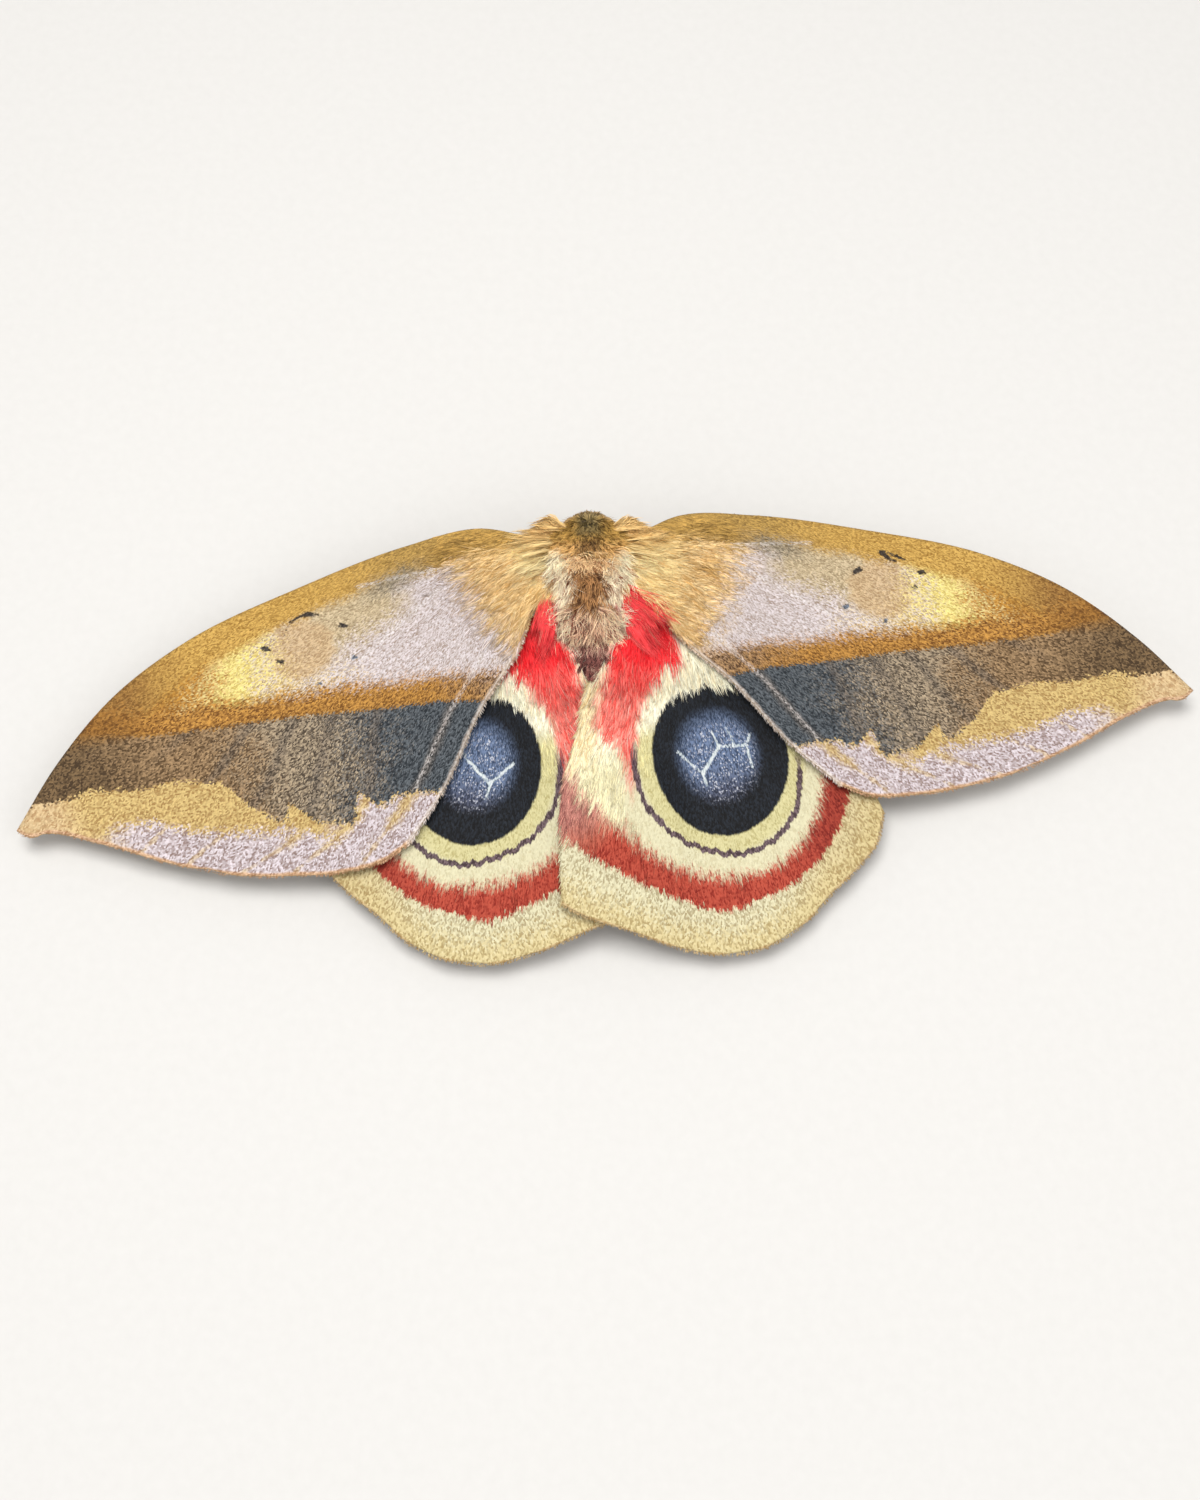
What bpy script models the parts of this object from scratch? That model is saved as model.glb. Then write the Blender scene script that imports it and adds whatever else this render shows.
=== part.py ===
"""A bullseye moth at rest on a flat floor, life size, in metres with +Z up.

The head points along +Y and the moth's right wings lie along +X. Everything is placed from the
middle of the thorax, straight above the floor point (0, 0, 0) of the "moth" empty, which then
shifts the whole so that the middle of its plan box stands over the world origin.
"""

import math
import random

import bmesh
import bpy
import numpy as np
from mathutils import Vector

# Gap that two touching nodes keep, and the least height of anything above the floor.
GAP = 0.0003

# Thorax: an egg lying along Y, under a coat of locks.
THORAX_CENTRE = Vector((0.0, 0.0012, 0.0064))
THORAX_RADII = Vector((0.0048, 0.0068, 0.0046))

# Prothorax: the narrower hood over the back of the head.
HOOD_CENTRE = Vector((0.0, 0.0058, 0.0067))
HOOD_RADII = Vector((0.0031, 0.0030, 0.0031))

# Head: a smaller ball, tucked under the front of the thorax.
HEAD_CENTRE = Vector((0.0, 0.0076, 0.0053))
HEAD_RADII = Vector((0.0026, 0.0024, 0.0025))
EYE_CENTRE = Vector((0.00205, 0.0082, 0.0048))
EYE_RADIUS = 0.00125

# Abdomen: stations from the thorax to the tail, as (y, height of the middle, half width).
ABDOMEN_STATIONS = (
    (-0.0035, 0.0050, 0.0023),
    (-0.0070, 0.0039, 0.0023),
    (-0.0120, 0.0031, 0.0024),
    (-0.0190, 0.0023, 0.0024),
    (-0.0235, 0.0018, 0.0019),
    (-0.0255, 0.0017, 0.0013),
)
ABDOMEN_RINGS = 8

# Wings: one shared dome that all four lie on, from its level at the body to that at the margins.
ROOT_LEVEL = 0.0076
MARGIN_LEVEL = 0.0023
DOME_REACH = 0.027
DOME_Y = -0.001
FOREWING_RISE = 0.0006
HINDWING_RISE = -0.0006
# The hind wings rise like a tent over the abdomen, and the right one lies over the left.
TENT_RISE = 0.0009
TENT_WIDTH = 0.0042
OVERLAP_LIFT = 0.00112
MEMBRANE = 0.00052
ROOT_THICKNESS = 0.0008

# Outline of the fore wing in its own plan: x from the hinge to the tip, y to the rear.
FOREWING_PIVOT = Vector((0.005, 0.001))
FOREWING_SWEEP = {"right": math.radians(9.9), "left": math.radians(25.9)}
# The right wing is drawn in behind the line from hinge to tip by this share.
FOREWING_DRAWN_IN = {"right": 0.09, "left": 0.0}
FOREWING_COSTA = (
    (-0.0030, -0.0036), (-0.0008, -0.0053), (0.0026, -0.0082), (0.0104, -0.0104),
    (0.0220, -0.0116), (0.0344, -0.0115), (0.0432, -0.0092), (0.0512, -0.0046), (0.0571, 0.0003),
)
FOREWING_MARGIN = (
    (0.0571, 0.0003), (0.0565, 0.0013), (0.0542, 0.0021), (0.0507, 0.0048), (0.0452, 0.0098),
    (0.0404, 0.0136), (0.0342, 0.0169), (0.0300, 0.0186), (0.0262, 0.0195), (0.0230, 0.0189),
)
FOREWING_INNER = (
    (-0.0022, 0.0012), (0.0010, 0.0022), (0.0054, 0.0062), (0.0110, 0.0099),
    (0.0175, 0.0154), (0.0230, 0.0189),
)

# Outline of the hind wing in its own plan, from the same kind of hinge.
HINDWING_PIVOT = Vector((0.0025, -0.003))
HINDWING_SWEEP = {"right": 0.0, "left": math.radians(6.0)}
HINDWING_COSTA = (
    (-0.0008, -0.0022), (0.0050, 0.0002), (0.0135, 0.0056), (0.0215, 0.0122), (0.0256, 0.0168),
    (0.0267, 0.0192),
)
HINDWING_MARGIN = (
    (0.0267, 0.0192), (0.0260, 0.0221), (0.0240, 0.0248), (0.0213, 0.0275), (0.0191, 0.0300),
    (0.0160, 0.0324), (0.0112, 0.0338), (0.0060, 0.0333), (0.0010, 0.0319), (-0.0036, 0.0304),
    (-0.0051, 0.0294),
)
HINDWING_INNER = (
    (-0.0018, 0.0014), (-0.0015, 0.0044), (-0.0025, 0.0078), (-0.0036, 0.0130), (-0.0046, 0.0165),
    (-0.0052, 0.0222), (-0.0051, 0.0294),
)

# Veins: the share of the way from the front edge to the rear edge, and where each one starts
# between the hinge and the margin. Stems start at the hinge and branches at the cell's end.
FOREWING_VEINS = (
    (0.07, 0.0), (0.20, 0.42), (0.32, 0.40), (0.44, 0.40), (0.57, 0.0), (0.70, 0.46), (0.86, 0.0),
)
HINDWING_VEINS = (
    (0.09, 0.0), (0.22, 0.40), (0.35, 0.36), (0.48, 0.36), (0.61, 0.0), (0.74, 0.42), (0.88, 0.0),
)
VEIN_HEIGHT = 0.00018
VEIN_HALF_WIDTH = 0.00034
SCALLOP = 0.00028
FOREWING_ROWS = 13
HINDWING_ROWS = 11

# Legs: hip, knee, ankle and toe of the right legs; the left ones mirror them.
LEG_JOINTS = {
    "front": ((0.0020, 0.0052, 0.0034), (0.0054, 0.0078, 0.0038), (0.0072, 0.0090, 0.0010),
              (0.0086, 0.0104, 0.0003)),
    "middle": ((0.0026, 0.0012, 0.0030), (0.0074, 0.0016, 0.0042), (0.0104, 0.0004, 0.0010),
               (0.0128, -0.0008, 0.0003)),
    "hind": ((0.0024, -0.0024, 0.0034), (0.0066, -0.0068, 0.0040), (0.0084, -0.0118, 0.0010),
             (0.0096, -0.0152, 0.0003)),
}
FEMUR_RADIUS = 0.0008
TIBIA_RADIUS = 0.0006
TARSUS_RADIUS = 0.0004

# Antennae: the route of the right shaft, back from the head and in under the fore wing.
ANTENNA_ROUTE = (
    (0.0014, 0.0088, 0.0068), (0.0021, 0.0083, 0.0073), (0.0029, 0.0073, 0.0073),
    (0.0038, 0.0061, 0.0069), (0.0052, 0.0047, 0.0065), (0.0076, 0.0026, 0.0063),
    (0.0096, -0.0004, 0.0060),
)
ANTENNA_RADIUS = 0.00028
ANTENNA_COMBS = 5
COMB_LENGTH = 0.0013

# Palps: two short furred feelers under the face.
PALP_ROUTE = ((0.0008, 0.0088, 0.0036), (0.0010, 0.0100, 0.0030), (0.0010, 0.0108, 0.0032))
PALP_RADIUS = 0.00045

# Locks of hair, and how deep their roots are sunk.
LOCK_WIDTH = 0.0021
LOCK_THICKNESS = 0.0006
LOCK_ROOT = 0.0009
SUNK = 0.0002

COLOURS = {
    "thorax fur": (0.45, 0.28, 0.12),
    "head fur": (0.22, 0.15, 0.05),
    "abdomen fur": (0.42, 0.20, 0.13),
    "fore wing": (0.48, 0.31, 0.13),
    "hind wing": (0.72, 0.60, 0.36),
    "leg fur": (0.38, 0.20, 0.10),
    "antenna": (0.50, 0.34, 0.15),
    "eye": (0.03, 0.02, 0.02),
}


def clear_scene():
    for old in list(bpy.data.objects):
        bpy.data.objects.remove(old)


def material(name):
    """The named finish, made once."""
    found = bpy.data.materials.get(name)
    if found:
        return found
    made = bpy.data.materials.new(name)
    made.use_nodes = True
    shader = made.node_tree.nodes["Principled BSDF"]
    shader.inputs["Base Color"].default_value = (*COLOURS[name], 1.0)
    shader.inputs["Roughness"].default_value = 0.2 if name == "eye" else 0.85
    shader.inputs["Metallic"].default_value = 0.0
    return made


def solid(name, points, faces, finish):
    """An object from points and faces, with its faces pointing out."""
    mesh = bpy.data.meshes.new(name)
    mesh.from_pydata([tuple(p) for p in points], [], [tuple(f) for f in faces])
    shape = bmesh.new()
    shape.from_mesh(mesh)
    bmesh.ops.recalc_face_normals(shape, faces=shape.faces)
    bmesh.ops.triangulate(shape, faces=shape.faces)
    shape.to_mesh(mesh)
    shape.free()
    mesh.materials.append(material(finish))
    made = bpy.data.objects.new(name, mesh)
    bpy.context.scene.collection.objects.link(made)
    return made


def ellipsoid(name, centre, radii, finish, grow=0.0, segments=20, rings=12):
    """A closed ellipsoid, swollen by grow."""
    shape = bmesh.new()
    bmesh.ops.create_uvsphere(shape, u_segments=segments, v_segments=rings, radius=1.0)
    points = [
        centre + Vector((v.co.x * (radii.x + grow), v.co.y * (radii.y + grow), v.co.z * (radii.z + grow)))
        for v in shape.verts
    ]
    faces = [[v.index for v in f.verts] for f in shape.faces]
    shape.free()
    return solid(name, points, faces, finish)


def tube(name, route, radii, finish, sides=8, flatness=1.0, floor=None):
    """A closed tube along a route, as wide as its radii say and flatter by flatness."""
    route = [Vector(p) for p in route]
    points, faces = [], []
    for i, here in enumerate(route):
        ahead = (route[min(i + 1, len(route) - 1)] - route[max(i - 1, 0)]).normalized()
        across = ahead.cross(Vector((0.0, 0.0, 1.0)))
        across = across.normalized() if across.length > 1e-6 else Vector((1.0, 0.0, 0.0))
        upward = across.cross(ahead).normalized()
        for k in range(sides):
            turn = 2 * math.pi * (k + 0.5) / sides
            p = here + radii[i] * (math.cos(turn) * across + math.sin(turn) * flatness * upward)
            if floor is not None:
                p.z = max(p.z, floor)
            points.append(p)
    for i in range(len(route) - 1):
        for k in range(sides):
            a, b = i * sides + k, i * sides + (k + 1) % sides
            faces.append((a, b, b + sides, a + sides))
    faces.append(tuple(reversed(range(sides))))
    faces.append(tuple(range(len(points) - sides, len(points))))
    return solid(name, points, faces, finish)


def gathered(pieces):
    """A collection that holds the pieces, for a Boolean."""
    group = bpy.data.collections.new("pieces")
    bpy.context.scene.collection.children.link(group)
    for piece in pieces:
        group.objects.link(piece)
    return group


def boolean(target, pieces, operation, solver="MANIFOLD"):
    """Joins the pieces to the target, or cuts them from it, and removes them."""
    group = gathered(pieces)
    step = target.modifiers.new("step", "BOOLEAN")
    step.operand_type = "COLLECTION"
    step.collection = group
    step.operation = operation
    step.solver = solver
    bpy.context.view_layer.update()
    graph = bpy.context.evaluated_depsgraph_get()
    result = bpy.data.meshes.new_from_object(target.evaluated_get(graph))
    target.modifiers.clear()
    target.data = result
    for piece in pieces:
        bpy.data.objects.remove(piece)
    bpy.data.collections.remove(group)


def keep_largest(target):
    """Keeps the closed surface with the largest volume, and drops loose scraps."""
    shape = bmesh.new()
    shape.from_mesh(target.data)
    bmesh.ops.triangulate(shape, faces=shape.faces)
    left = set(shape.faces)
    bodies = []
    while left:
        stack = [left.pop()]
        body = set(stack)
        while stack:
            for edge in stack.pop().edges:
                for face in edge.link_faces:
                    if face in left:
                        left.discard(face)
                        body.add(face)
                        stack.append(face)
        volume = sum(
            f.verts[0].co.dot(f.verts[1].co.cross(f.verts[2].co)) for f in body
        )
        bodies.append((volume, body))
    best = max(bodies, key=lambda item: item[0])[1]
    bmesh.ops.delete(shape, geom=[f for f in shape.faces if f not in best], context="FACES")
    shape.to_mesh(target.data)
    shape.free()


def smooth(low, high, value):
    """0 below low, 1 above high, and an easy bend between them."""
    share = min(1.0, max(0.0, (value - low) / (high - low)))
    return share * share * (3 - 2 * share)


def along(points, shares):
    """Points at those shares of the length of a smooth curve through the given points."""
    knots = np.array(points, float)
    steps = np.linalg.norm(np.diff(knots, axis=0), axis=1)
    places = np.concatenate([[0.0], np.cumsum(steps)])
    slopes = np.gradient(knots, places, axis=0)
    at = np.clip(np.asarray(shares, float), 0, 1) * places[-1]
    i = np.clip(np.searchsorted(places, at, side="right") - 1, 0, len(steps) - 1)
    t = ((at - places[i]) / steps[i])[:, None]
    span = steps[i][:, None]
    return (
        (2 * t**3 - 3 * t**2 + 1) * knots[i]
        + (t**3 - 2 * t**2 + t) * span * slopes[i]
        + (3 * t**2 - 2 * t**3) * knots[i + 1]
        + (t**3 - t**2) * span * slopes[i + 1]
    )


def dome(x, y):
    """Height of the dome that all the wings lie on."""
    reach = math.hypot(x, y - DOME_Y) / DOME_REACH
    return MARGIN_LEVEL + (ROOT_LEVEL - MARGIN_LEVEL) * math.exp(-reach * reach)


def forewing_level(x, y):
    return dome(x, y) + FOREWING_RISE


def hindwing_level(x, y, side):
    """Middle of the hind wing's thickness, where x runs to the moth's right."""
    tent = TENT_RISE * math.exp(-((x / TENT_WIDTH) ** 2)) * smooth(0.007, 0.011, -y)
    level = dome(x, y) + HINDWING_RISE + tent
    if side == "right":
        level += OVERLAP_LIFT * (1 - smooth(0.0060, 0.0115, x)) * smooth(0.0045, 0.0105, -y)
    return level


def vein_columns(veins, chord):
    """Places across the wing, each with its rise as a share of a full vein, for one chord."""
    columns = [(0.0, 0.7)]
    edges = [0.0] + [v for v, _ in veins] + [1.0]
    for k, (place, start) in enumerate(veins):
        room = min(place - edges[k], edges[k + 2] - place)
        half = min(VEIN_HALF_WIDTH / chord, 0.3 * room)
        middle = (edges[k] + place) / 2 if k else None
        if middle is not None:
            columns.append((middle, None))
        columns += [(place - half, None), (place, start), (place + half, None)]
    columns.append(((veins[-1][0] + 1.0) / 2, None))
    columns.append((1.0, None))
    return columns


def wing_grid(costa, margin, inner, veins, rows, tool):
    """Plan points of the wing in rows from hinge to margin, with each point's vein rise.

    A tool has no ridges: it has few columns, all as high as a vein.
    """
    rows = np.linspace(0, 1, rows)
    front, rear = along(costa, rows), along(inner, rows)
    corners = [np.array(costa[0]), np.array(inner[0]), np.array(margin[0]), np.array(margin[-1])]
    grid, rises = [], []
    for u, a, b in zip(rows, front, rear):
        if tool:
            columns = [(place, 0.0) for place in np.linspace(0, 1, 9)]
        else:
            columns = vein_columns(veins, max(np.linalg.norm(a - b), 0.004))
        places = np.array([c[0] for c in columns])[:, None]
        hinge = corners[0] + places * (corners[1] - corners[0])
        edge = along(margin, places[:, 0])
        flat = (1 - u) * ((1 - places) * corners[0] + places * corners[1]) + u * (
            (1 - places) * corners[2] + places * corners[3]
        )
        points = (1 - places) * a + places * b + (1 - u) * hinge + u * edge - flat
        if u == 1.0:
            points = scalloped(points, places[:, 0], veins)
        grid.append(points)
        rises.append([1.0 if tool else rise_at(c[1], u) for c in columns])
    return np.array(grid), np.array(rises)


def scalloped(points, places, veins):
    """The outer edge drawn in a little between its veins."""
    ends = [0.0] + [v for v, _ in veins] + [1.0]
    outward = points - points.mean(axis=0)
    outward /= np.linalg.norm(outward, axis=1)[:, None]
    drawn = np.zeros(len(places))
    for low, high in zip(ends, ends[1:]):
        inside = (places > low) & (places < high)
        drawn[inside] = SCALLOP * np.sin(math.pi * (places[inside] - low) / (high - low))
    drawn[0] = drawn[-1] = 0
    return points - outward * drawn[:, None]


def rise_at(start, u):
    """How far a vein has risen, as a share, at the row u."""
    if start is None:
        return 0.0
    return smooth(start - 0.02, start + 0.06, u) * (1 - 0.45 * u) if start else 1 - 0.45 * u


def wing(name, side, outline, veins, rows, pivot, sweep, level, finish, grow=0.0):
    """A curved membrane with raised veins, or a swollen copy of it to cut its neighbours."""
    grid, rises = wing_grid(*outline, veins, rows, grow > 0)
    if grow:
        grid = widened(grid, grow)
    sign = 1 if side == "right" else -1
    across, down = math.cos(sweep), math.sin(sweep)
    rows, columns = grid.shape[:2]
    top, bottom = [], []
    for i in range(rows):
        u = i / (rows - 1)
        half = (MEMBRANE + (ROOT_THICKNESS - MEMBRANE) * (1 - smooth(0.0, 0.3, u))) / 2
        for j in range(columns):
            s, c = grid[i, j]
            x = sign * (pivot.x + s * across - c * down)
            y = pivot.y - s * down - c * across
            z = level(x, y)
            top.append(Vector((x, y, z + half + grow + VEIN_HEIGHT * rises[i, j])))
            bottom.append(Vector((x, y, z - half - grow)))
    faces = []
    count = rows * columns
    for i in range(rows - 1):
        for j in range(columns - 1):
            a = i * columns + j
            quad = (a, a + 1, a + columns + 1, a + columns)
            faces += [(quad[0], quad[1], quad[2]), (quad[0], quad[2], quad[3])]
            faces += [tuple(count + k for k in (quad[2], quad[1], quad[0]))]
            faces += [tuple(count + k for k in (quad[3], quad[2], quad[0]))]
    rim = [j for j in range(columns)]
    rim += [i * columns + columns - 1 for i in range(1, rows)]
    rim += [(rows - 1) * columns + j for j in range(columns - 2, -1, -1)]
    rim += [i * columns for i in range(rows - 2, 0, -1)]
    for a, b in zip(rim, rim[1:] + rim[:1]):
        faces += [(a, b, count + b), (a, count + b, count + a)]
    return solid(name, top + bottom, faces, finish)


def widened(grid, grow):
    """The plan grid with its outer points moved out by grow."""
    wide = grid.copy()
    for edge, within in ((0, 1), (-1, -2)):
        out = grid[edge] - grid[within]
        wide[edge] += grow * out / np.linalg.norm(out, axis=1)[:, None]
        out = grid[:, edge] - grid[:, within]
        wide[:, edge] += grow * out / np.linalg.norm(out, axis=1)[:, None]
    return wide


def drawn_in(points, share):
    """The same points, with those behind the line from hinge to tip closer to it."""
    return tuple((s, c * (1 - share) if c > 0 else c) for s, c in points)


def forewing(side, grow=0.0, name=None):
    share = FOREWING_DRAWN_IN[side]
    outline = [drawn_in(points, share) for points in (FOREWING_COSTA, FOREWING_MARGIN, FOREWING_INNER)]
    return wing(
        name or f"forewing_{side}", side, outline, FOREWING_VEINS, FOREWING_ROWS, FOREWING_PIVOT,
        FOREWING_SWEEP[side], forewing_level, "fore wing", grow,
    )


def hindwing(side, grow=0.0, name=None):
    outline = (HINDWING_COSTA, HINDWING_MARGIN, HINDWING_INNER)
    return wing(
        name or f"hindwing_{side}", side, outline, HINDWING_VEINS, HINDWING_ROWS, HINDWING_PIVOT,
        HINDWING_SWEEP[side], lambda x, y: hindwing_level(x, y, side), "hind wing", grow,
    )


def mirrored(route, side):
    sign = 1 if side == "right" else -1
    return [(sign * x, y, z) for x, y, z in route]


def leg(place, side, grow=0.0, name=None):
    """Femur, tibia and a tarsus that lies flat on the floor, in one bent tube."""
    hip, knee, ankle, toe = [Vector(p) for p in mirrored(LEG_JOINTS[place], side)]
    route = [hip, hip.lerp(knee, 0.5), hip.lerp(knee, 0.92), knee, knee.lerp(ankle, 0.15)]
    radii = [FEMUR_RADIUS, FEMUR_RADIUS * 1.1, FEMUR_RADIUS * 0.8, TIBIA_RADIUS * 0.95, TIBIA_RADIUS]
    route += [knee.lerp(ankle, 0.6), ankle]
    radii += [TIBIA_RADIUS * 0.95, TARSUS_RADIUS * 1.1]
    joints = 4
    for k in range(1, joints + 1):
        step = Vector(ankle.lerp(toe, k / joints))
        step.z = toe.z
        if k < joints:
            route.append(step - (toe - ankle).normalized() * 0.0001)
            radii.append(TARSUS_RADIUS * 0.86)
        route.append(step)
        radii.append(TARSUS_RADIUS * (1.0 - 0.06 * k))
    radii = [r + grow for r in radii]
    floor = None if grow else 0.0
    sides = 6 if grow else 8
    return tube(name or f"{place}_leg_{side}", route, radii, "leg fur", sides, floor=floor)


def antenna(side, grow=0.0, name=None):
    """A tapering shaft with two rows of comb teeth, longest in the middle."""
    steps = 7 if grow else 11
    route = along(mirrored(ANTENNA_ROUTE, side), np.linspace(0, 1, steps))
    radii = [ANTENNA_RADIUS * (1.1 - 0.25 * k / steps) + grow for k in range(steps)]
    shaft = tube(name or f"antenna_{side}", route, radii, "antenna", sides=5)
    if grow:
        return shaft
    teeth = []
    for k in range(ANTENNA_COMBS):
        share = 0.44 + 0.52 * k / (ANTENNA_COMBS - 1)
        here, ahead = [Vector(p) for p in along(mirrored(ANTENNA_ROUTE, side), [share, share + 0.02])]
        forward = (ahead - here).normalized()
        across = forward.cross(Vector((0, 0, 1))).normalized()
        reach = COMB_LENGTH * math.sin(math.pi * (0.12 + 0.80 * k / (ANTENNA_COMBS - 1)))
        for hand in (-1, 1):
            out = (across * hand * 0.8 + forward * 0.6).normalized()
            tooth = [here - out * 0.0001, here + out * reach * 0.55, here + out * reach]
            tooth[2].z -= 0.0002
            teeth.append(tube("tooth", tooth, [0.00024, 0.0002, 0.0001], "antenna", sides=4))
    boolean(shaft, teeth, "UNION")
    keep_largest(shaft)
    return shaft


def abdomen_at(y):
    """Height of the middle and half width of the abdomen at that place along it."""
    stations = np.array(ABDOMEN_STATIONS)[::-1]
    return (
        float(np.interp(y, stations[:, 0], stations[:, 1])),
        float(np.interp(y, stations[:, 0], stations[:, 2])),
    )


def abdomen(grow=0.0, name="abdomen"):
    """A ringed, tapering body with its tail on a small flat on the floor."""
    first, last = ABDOMEN_STATIONS[0][0], ABDOMEN_STATIONS[-1][0]
    length = first - last
    route, radii = [], []
    for k in range(ABDOMEN_RINGS):
        for share, swell in ((0.0, 1.04),) if grow else ((0.0, 0.94), (0.35, 1.03), (0.85, 1.04)):
            y = first - length * (k + share) / ABDOMEN_RINGS
            middle, half = abdomen_at(y)
            route.append((0.0, y, middle))
            radii.append(half * swell + grow)
    route.append((0.0, last - 0.0008, ABDOMEN_STATIONS[-1][1]))
    radii.append(0.0007 + grow)
    if grow:
        return tube(name, route, radii, "abdomen fur", sides=10)
    return tube(name, route, radii, "abdomen fur", sides=16, floor=0.0)


def thorax_top(x, y):
    """Height of the bare thorax above that place, or none beside it."""
    inside = 1 - ((x - THORAX_CENTRE.x) / THORAX_RADII.x) ** 2 - ((y - THORAX_CENTRE.y) / THORAX_RADII.y) ** 2
    return THORAX_CENTRE.z + THORAX_RADII.z * math.sqrt(inside) if inside > 0 else 0.0


def resting_height(x, y):
    """The highest of wings and abdomen there, which the locks above must clear."""
    heights = [0.0]
    if abs(x) > 0.0036:
        heights.append(forewing_level(x, y) + ROOT_THICKNESS / 2 + VEIN_HEIGHT)
    if y < -0.003:
        middle, half = abdomen_at(y)
        side = 1 - (x / (half * 1.04)) ** 2
        if side > 0:
            heights.append(middle + half * 1.04 * math.sqrt(side))
        if abs(x) > 0.0012:
            heights.append(hindwing_level(x, y, "right") + MEMBRANE / 2 + VEIN_HEIGHT)
    return max(heights)


def lock(root, heading, length, width=LOCK_WIDTH, drop=0.0, cling=True, bend=0.0):
    """A flat, tapering lock of hair from a root on the body along a heading.

    Its underside is flat and its back is a low ridge. A clinging lock follows what lies under
    it; the others sink by drop over their length.
    """
    outward = (root - THORAX_CENTRE).normalized()
    steps = 4
    sideways = heading.cross(outward).normalized()
    route = [root - outward * LOCK_ROOT - heading * length * 0.15]
    for k in range(steps):
        share = (k + 0.35) / (steps - 0.65)
        p = root + heading * length * share + sideways * length * bend * share * share
        p.z -= drop * share * share
        if cling:
            p.z = max(p.z, thorax_top(p.x, p.y) - SUNK, resting_height(p.x, p.y) + GAP)
        p.z = max(p.z, GAP * 3)
        route.append(p)
    girth = [0.7, 1.0, 0.95, 0.66, 0.14]
    points, faces = [], []
    for i, here in enumerate(route):
        ahead = (route[min(i + 1, steps)] - route[max(i - 1, 0)]).normalized()
        across = ahead.cross(outward).normalized()
        upward = across.cross(ahead).normalized()
        half, ridge = width / 2 * girth[i], LOCK_THICKNESS * max(girth[i], 0.5)
        points += [here - across * half, here + across * half, here + upward * ridge]
    for i in range(steps):
        for k in range(3):
            a, b = i * 3 + k, i * 3 + (k + 1) % 3
            faces.append((a, b, b + 3, a + 3))
    faces += [(2, 1, 0), tuple(range(len(points) - 3, len(points)))]
    return solid("lock", points, faces, "thorax fur")


def on_thorax(x, y, below=False):
    """A point of the bare thorax above or below that place in plan."""
    inside = 1 - (x / THORAX_RADII.x) ** 2 - ((y - THORAX_CENTRE.y) / THORAX_RADII.y) ** 2
    rise = THORAX_RADII.z * math.sqrt(max(inside, 0.0))
    return Vector((x, y, THORAX_CENTRE.z + (-rise if below else rise)))


def plan_heading(degrees, dip=0.0):
    """A direction by its angle from straight back, positive to the right, that dips."""
    turn = math.radians(degrees)
    return Vector((math.sin(turn), -math.cos(turn), -dip)).normalized()


def spread(count):
    """That many even places from -1 to 1."""
    return [(2 * k - count + 1) / (count - 1) for k in range(count)]


def thorax_locks():
    """Every lock of the thorax, region by region, in rows that overlap like tiles."""
    draw = random.Random(8)
    locks = []

    def add(root, degrees, length, dip=0.0, **kind):
        length *= draw.uniform(0.90, 1.10)
        heading = plan_heading(degrees + draw.uniform(-5, 5), dip)
        locks.append(lock(root, heading, length, bend=draw.uniform(-0.12, 0.12), **kind))

    # Fan behind the thorax, over the waist
    for count, y, length in ((5, -0.0014, 0.0052), (4, -0.0032, 0.0036)):
        for side in spread(count):
            root = on_thorax(side * 0.0026, y + 0.0010 * side * side)
            add(root, 38 * side, length, dip=0.30, width=0.0023)
    # Back of the thorax, from the hood to the fan
    for row in range(3):
        for side in spread(3 + row % 2):
            add(on_thorax(side * 0.0025, 0.0044 - 0.0023 * row), 22 * side, 0.0040, dip=0.10, width=0.0026)
    # Shoulder tufts over the roots of the fore wings
    for hand in (-1, 1):
        for k in range(5):
            share = k / 4
            root = on_thorax(hand * (0.0036 + 0.0004 * math.sin(math.pi * share)), 0.0052 - 0.0064 * share)
            add(root, hand * (106 - 58 * share), 0.0048, dip=0.55, width=0.0026)
    # Hood over the nape, and tufts beside the head
    for side in spread(3):
        root = HOOD_CENTRE + Vector((side * 0.0020, 0.0008, 0.0028 - 0.0010 * side * side))
        add(root, 180 - 36 * side, 0.0022, dip=0.50, cling=False, width=0.0023)
    for hand in (-1, 1):
        for k in range(2):
            root = HOOD_CENTRE + Vector((hand * 0.0026, 0.0008 - 0.0012 * k, 0.0009 - 0.0012 * k))
            add(root, hand * (130 - 18 * k), 0.0030, dip=0.05, cling=False, drop=0.0004)
    # Flanks below the wings, and the breast between the legs
    for hand in (-1, 1):
        for k in range(3):
            root = on_thorax(hand * (0.0040 - 0.0003 * k), 0.0048 - 0.0026 * k, below=True)
            add(root, hand * 24, 0.0030, dip=0.40, cling=False, drop=0.0006)
    for k in range(2):
        add(on_thorax(0.0, 0.0040 - 0.0034 * k, below=True), 0, 0.0028, dip=0.1, cling=False)
    return locks


def clearances(names):
    """Swollen copies of those neighbours, to cut a node clear of them."""
    makers = {
        "wings": lambda: [f(side, GAP, "tool") for side in ("left", "right") for f in (forewing, hindwing)],
        "legs": lambda: [leg(place, side, GAP, "tool") for place in LEG_JOINTS for side in ("left", "right")],
        "antennae": lambda: [antenna(side, GAP, "tool") for side in ("left", "right")],
        "abdomen": lambda: [abdomen(GAP, "tool")],
        "thorax": lambda: [ellipsoid("tool", THORAX_CENTRE, THORAX_RADII, "thorax fur", GAP)],
        "head": lambda: [ellipsoid("tool", HEAD_CENTRE, HEAD_RADII, "head fur", GAP, 14, 8)],
        "eyes": lambda: [eye(side, GAP, "tool") for side in ("left", "right")],
        "palps": lambda: [palp(side, GAP, "tool") for side in ("left", "right")],
    }
    return [tool for name in names for tool in makers[name]()]


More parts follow.
